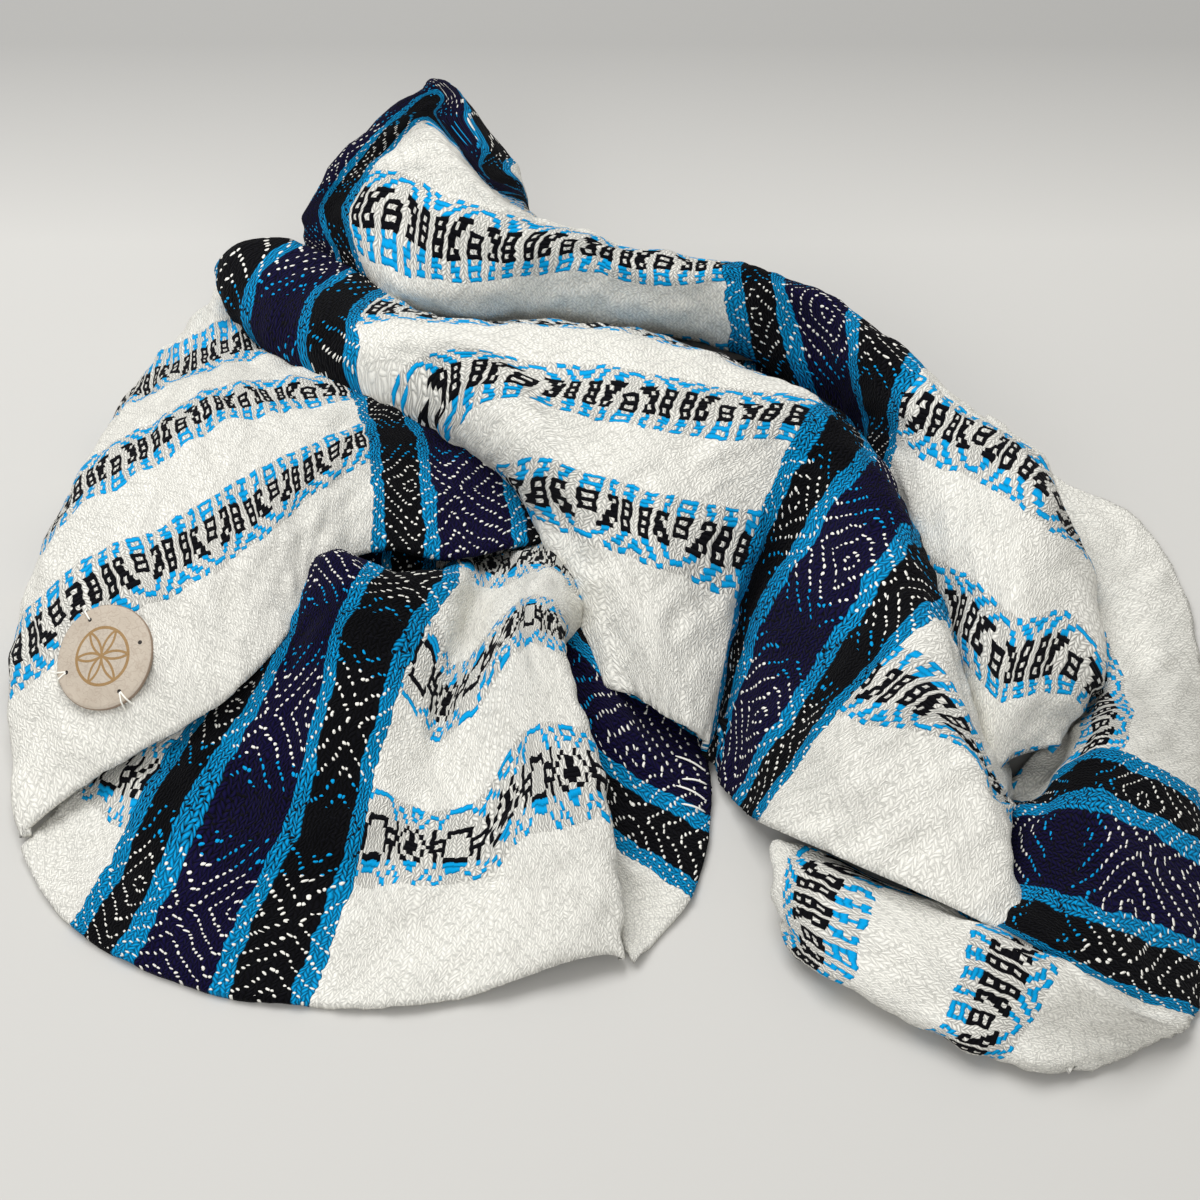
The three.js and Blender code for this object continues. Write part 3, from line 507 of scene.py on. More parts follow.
def cloth_piece(name, table, side, creases, seed):
    """A stretch of cloth over its table, with the given creases and a slight rumple.

    A crease is [along, across, along, across, height, half width] in mm: a soft ridge, or
    with a height below zero a trough, between two places of the flat cloth. The side is 1
    where along x across points out of the cloth's face, and -1 where it points in.
    """
    knots = np.array(table, dtype=float)
    length = np.linalg.norm(np.diff(knots[..., 2:], axis=0), axis=-1).mean(axis=1)
    width = np.linalg.norm(np.diff(knots[..., 2:], axis=1), axis=-1).mean(axis=0)
    grid = on_stretch(table, finely(length), finely(width))
    place = grid[..., :2]
    points = grid[..., 2:].copy()
    out = outward(points, side)
    lift = RUMPLE * soft_noise(place, 17.0, seed) + 0.6 * RUMPLE * soft_noise(place, 8.0, seed + 1)
    for u0, v0, u1, v1, height, half in creases:
        start = np.array([u0, v0])
        line = np.array([u1, v1]) - start
        share = np.clip(((place - start) @ line) / (line @ line), 0, 1)
        gap = np.linalg.norm(place - start - share[..., None] * line, axis=-1)
        ends = np.clip(np.sin(math.pi * np.clip(share, 0.08, 0.92)), 0, 1) ** 0.5
        lift += height * ends * np.exp(-((gap / half) ** 2))
    # the rim is folded over and caught down, so it is round and slightly scalloped
    from_rim = np.minimum(place[..., 1], WIDTH - place[..., 1])
    scallop = np.sin(2 * math.pi * place[..., 0] / SCALLOP + 2 * soft_noise(place, 20.0, seed + 2))
    from_end = np.minimum(place[..., 0] - place[..., 0].min(), place[..., 0].max() - place[..., 0])
    fade = np.clip(from_end / 8.0, 0, 1)
    lift += fade * (0.3 * scallop - 0.6) * np.exp(-((from_rim / 1.8) ** 2))
    points += out * lift[..., None]
    points[..., 2] = np.maximum(points[..., 2], THICK + 0.2)
    if side > 0:
        made = grid_mesh(name, points * MM, place)
    else:
        made = grid_mesh(name, points[::-1] * MM, place[::-1])
    shell = made.modifiers.new("thickness", "SOLIDIFY")
    shell.thickness = THICK * MM
    shell.offset = -1
    shell.use_even_offset = False
    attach(made, "root")
    return made


# A stretch's table has a row for each place along it and a knot for each place across:
# [along the tube, across it, x, y, z], all in mm.
LABEL_STRETCH = [
    [[-50, 0, -17, 3, 15], [-46, 44, -26, 32, 20], [-44, 88, -37, 55, 22],
     [-40, 125, -49, 82, 16], [-46, 144, -76, 96, 12], [-46, 156, -76, 101, 2]],
    [[-25, 0, -41, -9, 21], [-24, 44, -48, 31, 25], [-22, 88, -59, 50, 26],
     [-20, 125, -68, 77, 20], [-24, 146, -82, 98, 14], [-24, 158, -82, 103, 2]],
    [[0, 0, -62, -10, 25], [0, 44, -65, 24, 31], [0, 88, -72, 44, 30],
     [0, 128, -82, 73, 22], [0, 150, -94, 102, 14], [0, 162, -94, 107, 2]],
    [[26, 0, -76, -27, 29], [26, 44, -80, 6, 37], [26, 88, -91, 38, 34],
     [26, 130, -100, 67, 24], [26, 154, -110, 108, 14], [26, 166, -110, 113, 2]],
    [[52, 0, -82, -43, 28], [52, 44, -93, -11, 40], [52, 88, -106, 31, 37],
     [52, 132, -114, 61, 25], [52, 154, -119, 95, 13], [52, 166, -119, 100, 2]],
    [[79, 0, -96, -60, 25], [79, 44, -109, -22, 38], [79, 88, -122, 19, 35],
     [79, 132, -128, 56, 21], [79, 146, -129, 76, 12], [79, 158, -129, 81, 2]],
    [[106, 0, -114, -68, 18], [106, 44, -129, -28, 32], [104, 88, -139, 13, 27],
     [98, 128, -136, 52, 16], [98, 136, -137, 61, 10], [98, 148, -137, 66, 2]],
    [[130, 0, -133, -76, 10], [126, 44, -146, -34, 20], [120, 84, -149, 6, 15],
     [112, 122, -141, 41, 11], [110, 130, -142, 47, 7], [110, 142, -142, 52, 2]],
    [[146, 0, -146, -85, 3], [142, 42, -155, -36, 8], [136, 80, -153, 5, 7],
     [128, 116, -143, 43, 6], [128, 124, -140, 48, 4], [128, 130, -137, 50, 2]],
    [[151, 0, -143, -84, 2], [150, 42, -152, -35, 2], [144, 80, -150, 4, 2],
     [136, 116, -140, 41, 2], [134, 124, -137, 44, 1], [131, 130, -135, 48, 1]],
]
LABEL_CREASES = [
    [112, 44, 96, 10, 0.8, 5],
    [60, 60, 20, 70, -0.8, 9],
    [112, 11, 81, 15, 0.7, 6],
    [107, 70, 81, 77, -0.6, 9],
]
label_stretch = cloth_piece("label_stretch_cloth", LABEL_STRETCH, -1, LABEL_CREASES, 3)
label_stretch.data.materials.append(weave_material("weave_label_stretch", -BAND, LONE_BAND, OUTER_FACE))
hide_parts("label_stretch")

# ---------------------------------------------------------------------------------------
# Leather label: a thin disc of pale leather, burned with a plain rosette in a ring, and
# sewn to the cloth by hand with a few loose threads through three of its four holes.
LABEL_AT = (6.15, 0.55)   # rows and knots of the label stretch
LABEL_RADIUS = 13.5       # mm
LABEL_LIFT = 0.45         # mm between the cloth and the leather
LABEL_REACH = 19.0        # mm of cloth round its middle that the label's back follows
DISC_RINGS = 24           # rings of the disc's flat top, from its middle to its edge
DISC_STEPS = 96           # steps round each ring
LABEL_EDGE = [        # distance in from the rim, height above the underside
    (0.9, 1.5), (0.35, 1.38), (0.1, 1.15), (0.0, 0.8), (0.1, 0.3), (0.5, 0.05),
]
HOLE_RADIUS = 10.6        # mm from the label's middle to its holes
HOLES = [15, 113, 198, 299]  # degrees round from the right
RING_RADIUS = 7.3         # mm, the burned ring
LEATHER_RELIEF = 0.25     # mm, the depth of its grain and burns
LEATHER = {
    "dark": (0.43, 0.36, 0.285, 1),
    "pale": (0.60, 0.53, 0.44, 1),
    "crease": (0.35, 0.26, 0.20, 1),
    "burn": (0.30, 0.16, 0.035, 1),
    "rim": (0.30, 0.22, 0.16, 1),
    # painted shade: the stitch holes are near black for the shadow down in them
    "hole": (0.02, 0.015, 0.012, 1),
}


def corners(mesh):
    """The places of a mesh's vertices, in mm."""
    flat = np.zeros(3 * len(mesh.vertices))
    mesh.vertices.foreach_get("co", flat)
    return flat.reshape(-1, 3) / MM


def cloth_under(made, place, reach):
    """A function for places on the cloth round a place: right, up, and height above it.

    A cubic surface is fitted to the vertices within reach, in a frame square to their plane.
    """
    corner = corners(made.data)
    near = corner[np.linalg.norm(corner - place, axis=1) < reach]
    out = np.linalg.svd(near - near.mean(axis=0))[2][2]
    out *= np.sign(out[2])
    right = np.array([1.0, 0.0, 0.0]) - out[0] * out
    right /= np.linalg.norm(right)
    up = np.cross(out, right)
    powers = [(i, j) for i in range(4) for j in range(4 - i)]

    def terms(a, b):
        return np.stack([a ** i * b ** j for i, j in powers], axis=-1)

    away = near - place
    fit = np.linalg.lstsq(terms(away @ right, away @ up), away @ out, rcond=None)[0]

    def on_cloth(a, b, above):
        high = terms(a, b) @ fit + above
        return place + a[..., None] * right + b[..., None] * up + high[..., None] * out

    return on_cloth


label_spot = on_stretch(LABEL_STRETCH, np.array([LABEL_AT[0]]), np.array([LABEL_AT[1]]))[0, 0, 2:]
on_label_cloth = cloth_under(label_stretch, label_spot, LABEL_REACH)
ring_in = np.array([LABEL_RADIUS - rim for rim, _ in LABEL_EDGE])
ring_high = np.array([high for _, high in LABEL_EDGE])
ring_radius = np.concatenate([np.linspace(0.02, ring_in[0], DISC_RINGS)[:-1], ring_in])
ring_top = np.concatenate([np.full(DISC_RINGS - 1, ring_high[0]), ring_high])
turn = np.linspace(0, 2 * math.pi, DISC_STEPS + 1)
disc_a = ring_radius[:, None] * np.cos(turn)
disc_b = ring_radius[:, None] * np.sin(turn)
disc_place = np.stack([disc_a, disc_b], axis=-1)
disc_high = ring_top[:, None] + LABEL_LIFT + 0.12 * soft_noise(disc_place, 9.0, 41)
label = grid_mesh("leather_disc", on_label_cloth(disc_a, disc_b, disc_high)[:, ::-1] * MM,
                  disc_place[:, ::-1])


def leather_material():
    """Pale leather with a fine grain, a burned ring and rosette, and four stitch holes."""
    g = Graph("leather")
    flat = g.woven_place()
    a, b, _ = g.split(flat)
    radius = g.math("SQRT", g.plus(g.times(a, a), g.times(b, b)))
    turn_here = g.plus(g.math("ARCTAN2", b, a), 2 * math.pi)
    folded = g.math("PINGPONG", turn_here, math.pi / 6)
    petal_a = g.times_plus(radius, g.math("COSINE", folded), -RING_RADIUS / 2)
    petal_b = g.times_plus(radius, g.math("SINE", folded), RING_RADIUS * math.sqrt(3) / 2)
    gap = g.math("SQRT", g.plus(g.times(petal_a, petal_a), g.times(petal_b, petal_b)))
    petal_line = g.math("COMPARE", gap, RING_RADIUS, 0.32)
    petal = g.times(petal_line, g.math("LESS_THAN", radius, RING_RADIUS))
    ring = g.math("COMPARE", radius, RING_RADIUS, 0.38)
    burned = g.math("MAXIMUM", petal, ring)
    rim = g.math("GREATER_THAN", radius, LABEL_RADIUS - 0.25)
    hole = None
    for degrees in HOLES:
        at = math.radians(degrees)
        off_a = g.minus(a, HOLE_RADIUS * math.cos(at))
        off_b = g.minus(b, HOLE_RADIUS * math.sin(at))
        off = g.plus(g.times(off_a, off_a), g.times(off_b, off_b))
        inside_hole = g.math("LESS_THAN", off, 0.3)
        hole = inside_hole if hole is None else g.math("MAXIMUM", hole, inside_hole)
    patch, _ = g.noise(flat, 0.16, 3.0)
    grain, _ = g.noise(flat, 2.2, 3.0)
    fold_line, _ = g.noise(flat, 0.45, 1.0)
    crease = g.math("COMPARE", fold_line, 0.5, 0.02)
    colour = g.mix(patch, LEATHER["dark"], LEATHER["pale"])
    colour = g.mix(g.times(crease, 0.25), colour, LEATHER["crease"])
    colour = g.mix(g.times(burned, 0.85), colour, LEATHER["burn"])
    colour = g.mix(rim, colour, LEATHER["rim"])
    # painted shade: each stitch hole is painted near black for the shadow inside it
    colour = g.mix(hole, colour, LEATHER["hole"])
    g.tree.links.new(colour, g.shader.inputs["Base Color"])
    sunk = g.math("MAXIMUM", g.times(burned, 0.6), g.times(hole, 2.0))
    sunk = g.times_plus(crease, 0.4, sunk)
    g.bump(g.minus(grain, sunk), 0.6, LEATHER_RELIEF * MM)
    g.shader.inputs["Roughness"].default_value = 0.55
    g.shader.inputs["Specular IOR Level"].default_value = 0.35
    return g.material


label.data.materials.append(leather_material())
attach(label, "root")
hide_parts("leather_label")


thread_graph = Graph("sewing_thread")
thread_graph.shader.inputs["Base Color"].default_value = YARN["white"]
thread_graph.shader.inputs["Roughness"].default_value = 0.9


def thread(name, path, radius):
    """A round white sewing thread through the points of a path, a tube of eight sides."""
    path = np.array(path, dtype=float)
    ahead = np.gradient(path, axis=0)
    ahead /= np.linalg.norm(ahead, axis=1, keepdims=True)
    first = np.cross(ahead, [0.31, 0.22, 0.93])
    first /= np.linalg.norm(first, axis=1, keepdims=True)
    second = np.cross(ahead, first)
    turns = np.linspace(0, 2 * math.pi, 9)
    ends = np.ones(len(path))
    ends[[0, -1]] = 0.4
    tube = (path[:, None] + radius * ends[:, None, None] * (np.cos(turns)[:, None] * first[:, None]
                                                            + np.sin(turns)[:, None] * second[:, None]))
    made = grid_mesh(name, tube * MM)
    made.data.materials.append(thread_graph.material)
    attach(made, "root")
    return made


LABEL_STITCHES = [        # name, degrees round from the right, degrees it leans by its far end
    ("left", 198, 5), ("left_2", 197, -6), ("low", 299, -6), ("low_2", 300, 3), ("top", 113, 4),
]
STITCH_REACH = LABEL_RADIUS + 1.3
STITCH_ARCH = [           # mm from the label's middle, mm above the cloth
    (HOLE_RADIUS, 1.7), (HOLE_RADIUS + 0.5, 2.15), (LABEL_RADIUS - 0.3, 2.1),
    (LABEL_RADIUS + 0.5, 1.2), (STITCH_REACH, -0.2),
]


def label_thread(name, degrees, lean):
    """A stitch from a hole out over the edge of the label and down into the cloth."""
    share = np.linspace(0, 1, 13)
    at = np.radians(degrees + lean * share)
    reach = HOLE_RADIUS + (STITCH_REACH - HOLE_RADIUS) * share
    above = np.interp(reach, *zip(*STITCH_ARCH))
    return thread(name, on_label_cloth(reach * np.cos(at), reach * np.sin(at), above), 0.22)


label_stitches = [label_thread("label_stitch_" + name, degrees, lean)
                  for name, degrees, lean in LABEL_STITCHES]

# ---------------------------------------------------------------------------------------
# Mouth: the open mouth of the tube, its inner face up, from the rim on the table to the
# deep end under the other folds. The same weave; a band runs straight up its left half.
MOUTH = [
    [[-24, 0, -145, -88, 2], [-24, 26, -137, -74, 3], [-22, 46, -127, -64, 6],
     [-16, 80, -110, -45, 10], [-10, 110, -99, -23, 12], [-10, 124, -98, -17, 3]],
    [[-12, 0, -138, -100, 2], [-12, 24, -129, -86, 4], [-10, 44, -121, -69, 9],
     [-6, 84, -100, -41, 18], [-4, 112, -90, -21, 18], [-4, 126, -89, -15, 6]],
    [[0, 0, -130, -109, 2], [0, 24, -122, -93, 5], [0, 44, -114, -73, 11],
     [2, 84, -92, -41, 22], [3, 112, -84, -16, 20], [3, 126, -83, -10, 8]],
    [[16, 0, -119, -117, 2], [16, 24, -111, -99, 6], [16, 44, -103, -76, 13],
     [16, 86, -83, -42, 27], [18, 112, -80, -17, 26], [18, 126, -79, -11, 14]],
    [[31, 0, -104, -124, 2], [31, 24, -97, -106, 6], [31, 44, -87, -84, 14],
     [31, 88, -74, -39, 31], [32, 112, -70, -19, 35], [32, 126, -69, -13, 23]],
    [[46, 0, -89, -129, 2], [46, 24, -83, -106, 6], [46, 44, -74, -89, 14],
     [46, 88, -65, -39, 31], [46, 112, -57, -25, 33], [46, 126, -56, -19, 21]],
    [[62, 0, -70, -131, 2], [62, 24, -64, -110, 5], [62, 44, -60, -90, 12],
     [62, 88, -49, -44, 24], [62, 114, -39, -20, 24], [62, 129, -41, -3, 14]],
    [[80, 0, -52, -132, 3], [80, 24, -50, -109, 5], [80, 44, -48, -91, 10],
     [78, 88, -42, -52, 15], [76, 120, -34, -15, 15], [76, 135, -34, 1, 9]],
    [[100, 0, -33, -129, 4], [98, 24, -32, -106, 6], [98, 44, -32, -91, 10],
     [94, 88, -34, -45, 20], [92, 125, -26, -12, 18], [92, 140, -26, 5, 9]],
    [[108, 0, -25, -127, 5], [108, 24, -23, -103, 11], [108, 44, -24, -82, 17],
     [106, 88, -25, -39, 30], [104, 125, -20, -15, 24], [104, 140, -19, 5, 12]],
    [[124, 0, -12, -123, 7], [124, 24, -12, -101, 15], [124, 44, -15, -80, 24],
     [122, 88, -19, -40, 35], [118, 125, -14, -19, 28], [118, 140, -14, 1, 14]],
    [[138, 0, -1, -120, 6], [138, 24, -2, -100, 17], [138, 44, -5, -81, 26],
     [136, 86, -14, -44, 34], [132, 120, -10, -25, 26], [132, 135, -10, -7, 13]],
    [[143, 0, 3, -120, 4], [142, 24, 1, -101, 14], [142, 44, -2, -80, 22],
     [140, 84, -12, -44, 28], [136, 118, -7, -26, 20], [136, 133, -6, -13, 12]],
    [[147, 0, 3, -118, 2], [148, 24, 0, -100, 6], [148, 44, -4, -79, 13],
     [146, 84, -14, -45, 18], [142, 118, -9, -28, 12], [142, 133, -8, -15, 8]],
]
MOUTH_CREASES = [
    [113, 112, 136, 14, 0.8, 6],
    [85, 85, 76, 39, -1.1, 7],
    [67, 97, 70, 60, -0.9, 6],
    [30, 100, 20, 30, -0.8, 8],
    [-8, 30, 10, 8, -0.7, 7],
]
mouth = cloth_piece("mouth_cloth", MOUTH, 1, MOUTH_CREASES, 11)
mouth.data.materials.append(weave_material("weave_mouth", 0.0, PERIOD, INNER_FACE))
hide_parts("mouth")

# ---------------------------------------------------------------------------------------
# Mouth side: the same inner face past the mouth's ridge, falling to its rim on the right.
# It carries the tube's next band, with a few long hem stitches over it.
MOUTH_SIDE = [
    [[147, 0, 5, -120, 2], [147, 14, 3, -116, 2], [147, 28, -1, -109, 2], [147, 42, -5, -102, 2]],
    [[160, 0, 12, -111, 2], [160, 14, 7, -104, 3], [160, 28, 0, -98, 4], [160, 42, -8, -92, 4]],
    [[172, 0, 19, -102, 2], [172, 14, 10, -96, 4], [172, 28, 0, -90, 7], [172, 42, -9, -82, 7]],
    [[188, 0, 24, -84, 2], [188, 14, 12, -79, 6], [188, 28, 0, -73, 10], [188, 42, -9, -63, 11]],
    [[200, 0, 25, -70, 3], [200, 14, 13, -66, 8], [200, 28, 0, -60, 14], [200, 42, -11, -48, 15]],
    [[212, 0, 24, -56, 3], [212, 14, 12, -51, 9], [212, 28, -1, -46, 16], [212, 42, -12, -34, 17]],
    [[228, 0, 22, -39, 3], [228, 14, 10, -35, 9], [228, 28, -2, -29, 15], [228, 42, -11, -20, 16]],
]
MOUTH_SIDE_CREASES = [
    [206, 20, 173, 19, -0.7, 8],
]
mouth_side = cloth_piece("mouth_side_cloth", MOUTH_SIDE, 1, MOUTH_SIDE_CREASES, 17)
mouth_side.data.materials.append(mouth.data.materials[0])
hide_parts("mouth_side")


def loop_corners(mesh):
    """The vertex that each loop of a mesh starts at."""
    loops = np.zeros(len(mesh.loops), dtype=int)
    mesh.loops.foreach_get("vertex_index", loops)
    return loops


def on_flat(mesh, flat):
    """Where flat places of a cloth lie, in mm, and the unit directions out of it there."""
    out = np.zeros(3 * len(mesh.vertices))
    mesh.vertices.foreach_get("normal", out)
    uv = np.zeros(2 * len(mesh.loops))
    mesh.uv_layers["weave"].data.foreach_get("uv", uv)
    loops = loop_corners(mesh)
    nearest = [loops[np.argmin(np.linalg.norm(uv.reshape(-1, 2) - spot, axis=1))] for spot in flat]
    return corners(mesh)[nearest], out.reshape(-1, 3)[nearest]


# a few long white stitches of the rim's hem lie over the band: [along, across] from and to
RIM_STITCHES = [[192, 9, 193, 1], [196, 10, 196, 2], [199, 9, 200, 1], [203, 10, 203, 2]]
for number, (u0, v0, u1, v1) in enumerate(RIM_STITCHES):
    share = np.linspace(0, 1, 9)[:, None]
    spots, out = on_flat(mouth_side.data, (1 - share) * [u0, v0] + share * [u1, v1])
    spots = (1 - share) * spots[0] + share * spots[-1]
    above = 0.15 + 0.9 * np.sin(math.pi * share)
    thread(f"rim_stitch_{number}", spots + above * out.mean(axis=0), 0.25)

# ---------------------------------------------------------------------------------------
# Middle fold: the broad fold across the heap with its left loop, and the flap that runs
# out to the front right. The outer face, with a band on the loop and one over the shoulder.
MIDDLE_FOLD = [
    [[50, 0, -2, -43, 6], [37, 44, -22, 16, 10], [0, 88, -46, 38, 12],
     [-22, 112, -68, 49, 12], [-56, 134, -100, 79, 10], [-67, 150, -109, 100, 10]],
    [[60, 0, -5, -44, 13], [49, 44, -26, 14, 22], [14, 88, -51, 34, 26],
     [-8, 112, -73, 44, 27], [-48, 134, -105, 74, 26], [-60, 150, -114, 97, 26]],
    [[64, 0, -2, -47, 15], [54, 44, -21, 6, 29], [17, 88, -48, 35, 34],
     [-4, 112, -73, 47, 35], [-35, 134, -96, 71, 34], [-54, 152, -107, 101, 31]],
    [[68, 0, 0, -49, 16], [59, 44, -16, 1, 34], [22, 88, -43, 38, 40],
     [1, 112, -67, 49, 40], [-20, 134, -84, 70, 38], [-47, 154, -93, 105, 30]],
    [[71, 0, 4, -51, 17], [63, 44, -11, -4, 38], [34, 88, -30, 36, 45],
     [15, 112, -54, 51, 44], [2, 130, -66, 67, 38], [-24, 151, -76, 99, 26]],
    [[76, 0, 7, -54, 18], [69, 44, -3, -10, 41], [43, 88, -17, 27, 48],
     [36, 112, -24, 48, 46], [28, 127, -39, 65, 35], [24, 144, -49, 80, 22]],
    [[86, 0, 12, -58, 18], [84, 44, 10, -16, 42], [68, 88, 7, 21, 49],
     [64, 112, 6, 45, 46], [60, 127, 0, 62, 35], [58, 144, -6, 81, 20]],
    [[97, 0, 19, -60, 15], [97, 44, 22, -17, 37], [94, 88, 32, 20, 46],
     [92, 110, 34, 37, 43], [90, 127, 30, 54, 32], [88, 144, 25, 72, 18]],
    [[110, 0, 25, -61, 9], [110, 44, 35, -14, 28], [110, 88, 51, 22, 42],
     [110, 104, 56, 31, 38], [110, 127, 52, 46, 26], [110, 144, 48, 60, 15]],
    [[126, 0, 26, -63, 3], [124, 44, 38, -19, 19], [124, 88, 62, 12, 40],
     [124, 100, 65, 20, 35], [124, 127, 63, 42, 22], [124, 144, 60, 57, 12]],
    [[141, 0, 27, -69, 3], [141, 44, 45, -40, 28], [141, 88, 70, -1, 39],
     [141, 100, 74, 4, 33], [140, 126, 73, 28, 18], [140, 147, 71, 44, 10]],
    [[157, 0, 31, -78, 6], [158, 44, 56, -56, 36], [158, 74, 75, -27, 39],
     [158, 86, 79, -22, 34], [157, 115, 81, 6, 18], [156, 140, 79, 25, 10]],
    [[172, 0, 35, -84, 9], [172, 44, 61, -64, 39], [172, 66, 79, -45, 39],
     [172, 78, 83, -41, 34], [172, 105, 84, -15, 18], [172, 130, 83, 3, 10]],
    [[192, 0, 51, -98, 16], [188, 40, 69, -71, 39], [188, 54, 82, -65, 37],
     [190, 66, 86, -62, 32], [192, 92, 87, -36, 16], [192, 115, 86, -21, 10]],
    [[215, 0, 73, -112, 19], [208, 34, 82, -80, 35], [206, 46, 87, -81, 33],
     [208, 58, 90, -79, 28], [210, 80, 93, -56, 14], [212, 100, 93, -44, 9]],
    [[235, 0, 89, -121, 19], [224, 28, 90, -93, 30], [222, 40, 92, -89, 27],
     [224, 50, 94, -87, 22], [226, 66, 98, -74, 12], [228, 84, 98, -62, 8]],
    [[246, 0, 97, -120, 14], [238, 26, 94, -100, 22], [236, 38, 95, -89, 20],
     [236, 46, 96, -86, 16], [236, 56, 98, -79, 10], [236, 70, 99, -70, 7]],
    [[254, 0, 96, -117, 6], [248, 26, 92, -99, 9], [246, 38, 93, -89, 8],
     [245, 46, 94, -86, 7], [244, 56, 96, -79, 6], [242, 70, 97, -70, 5]],
]
MIDDLE_CREASES = [
    [59, 51, 69, 22, -1.0, 9],
    [99, 26, 80, 44, 0.8, 8],
    [155, 29, 217, 11, 0.8, 9],
    [26, 96, 59, 100, -0.7, 7],
    [161, 7, 197, 10, -0.6, 6],
    [40, 70, 90, 62, -0.6, 8],
]
middle_fold = cloth_piece("middle_fold_cloth", MIDDLE_FOLD, 1, MIDDLE_CREASES, 23)
middle_fold.data.materials.append(weave_material("weave_middle_fold", -BAND, PERIOD, OUTER_FACE))
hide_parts("middle_fold")

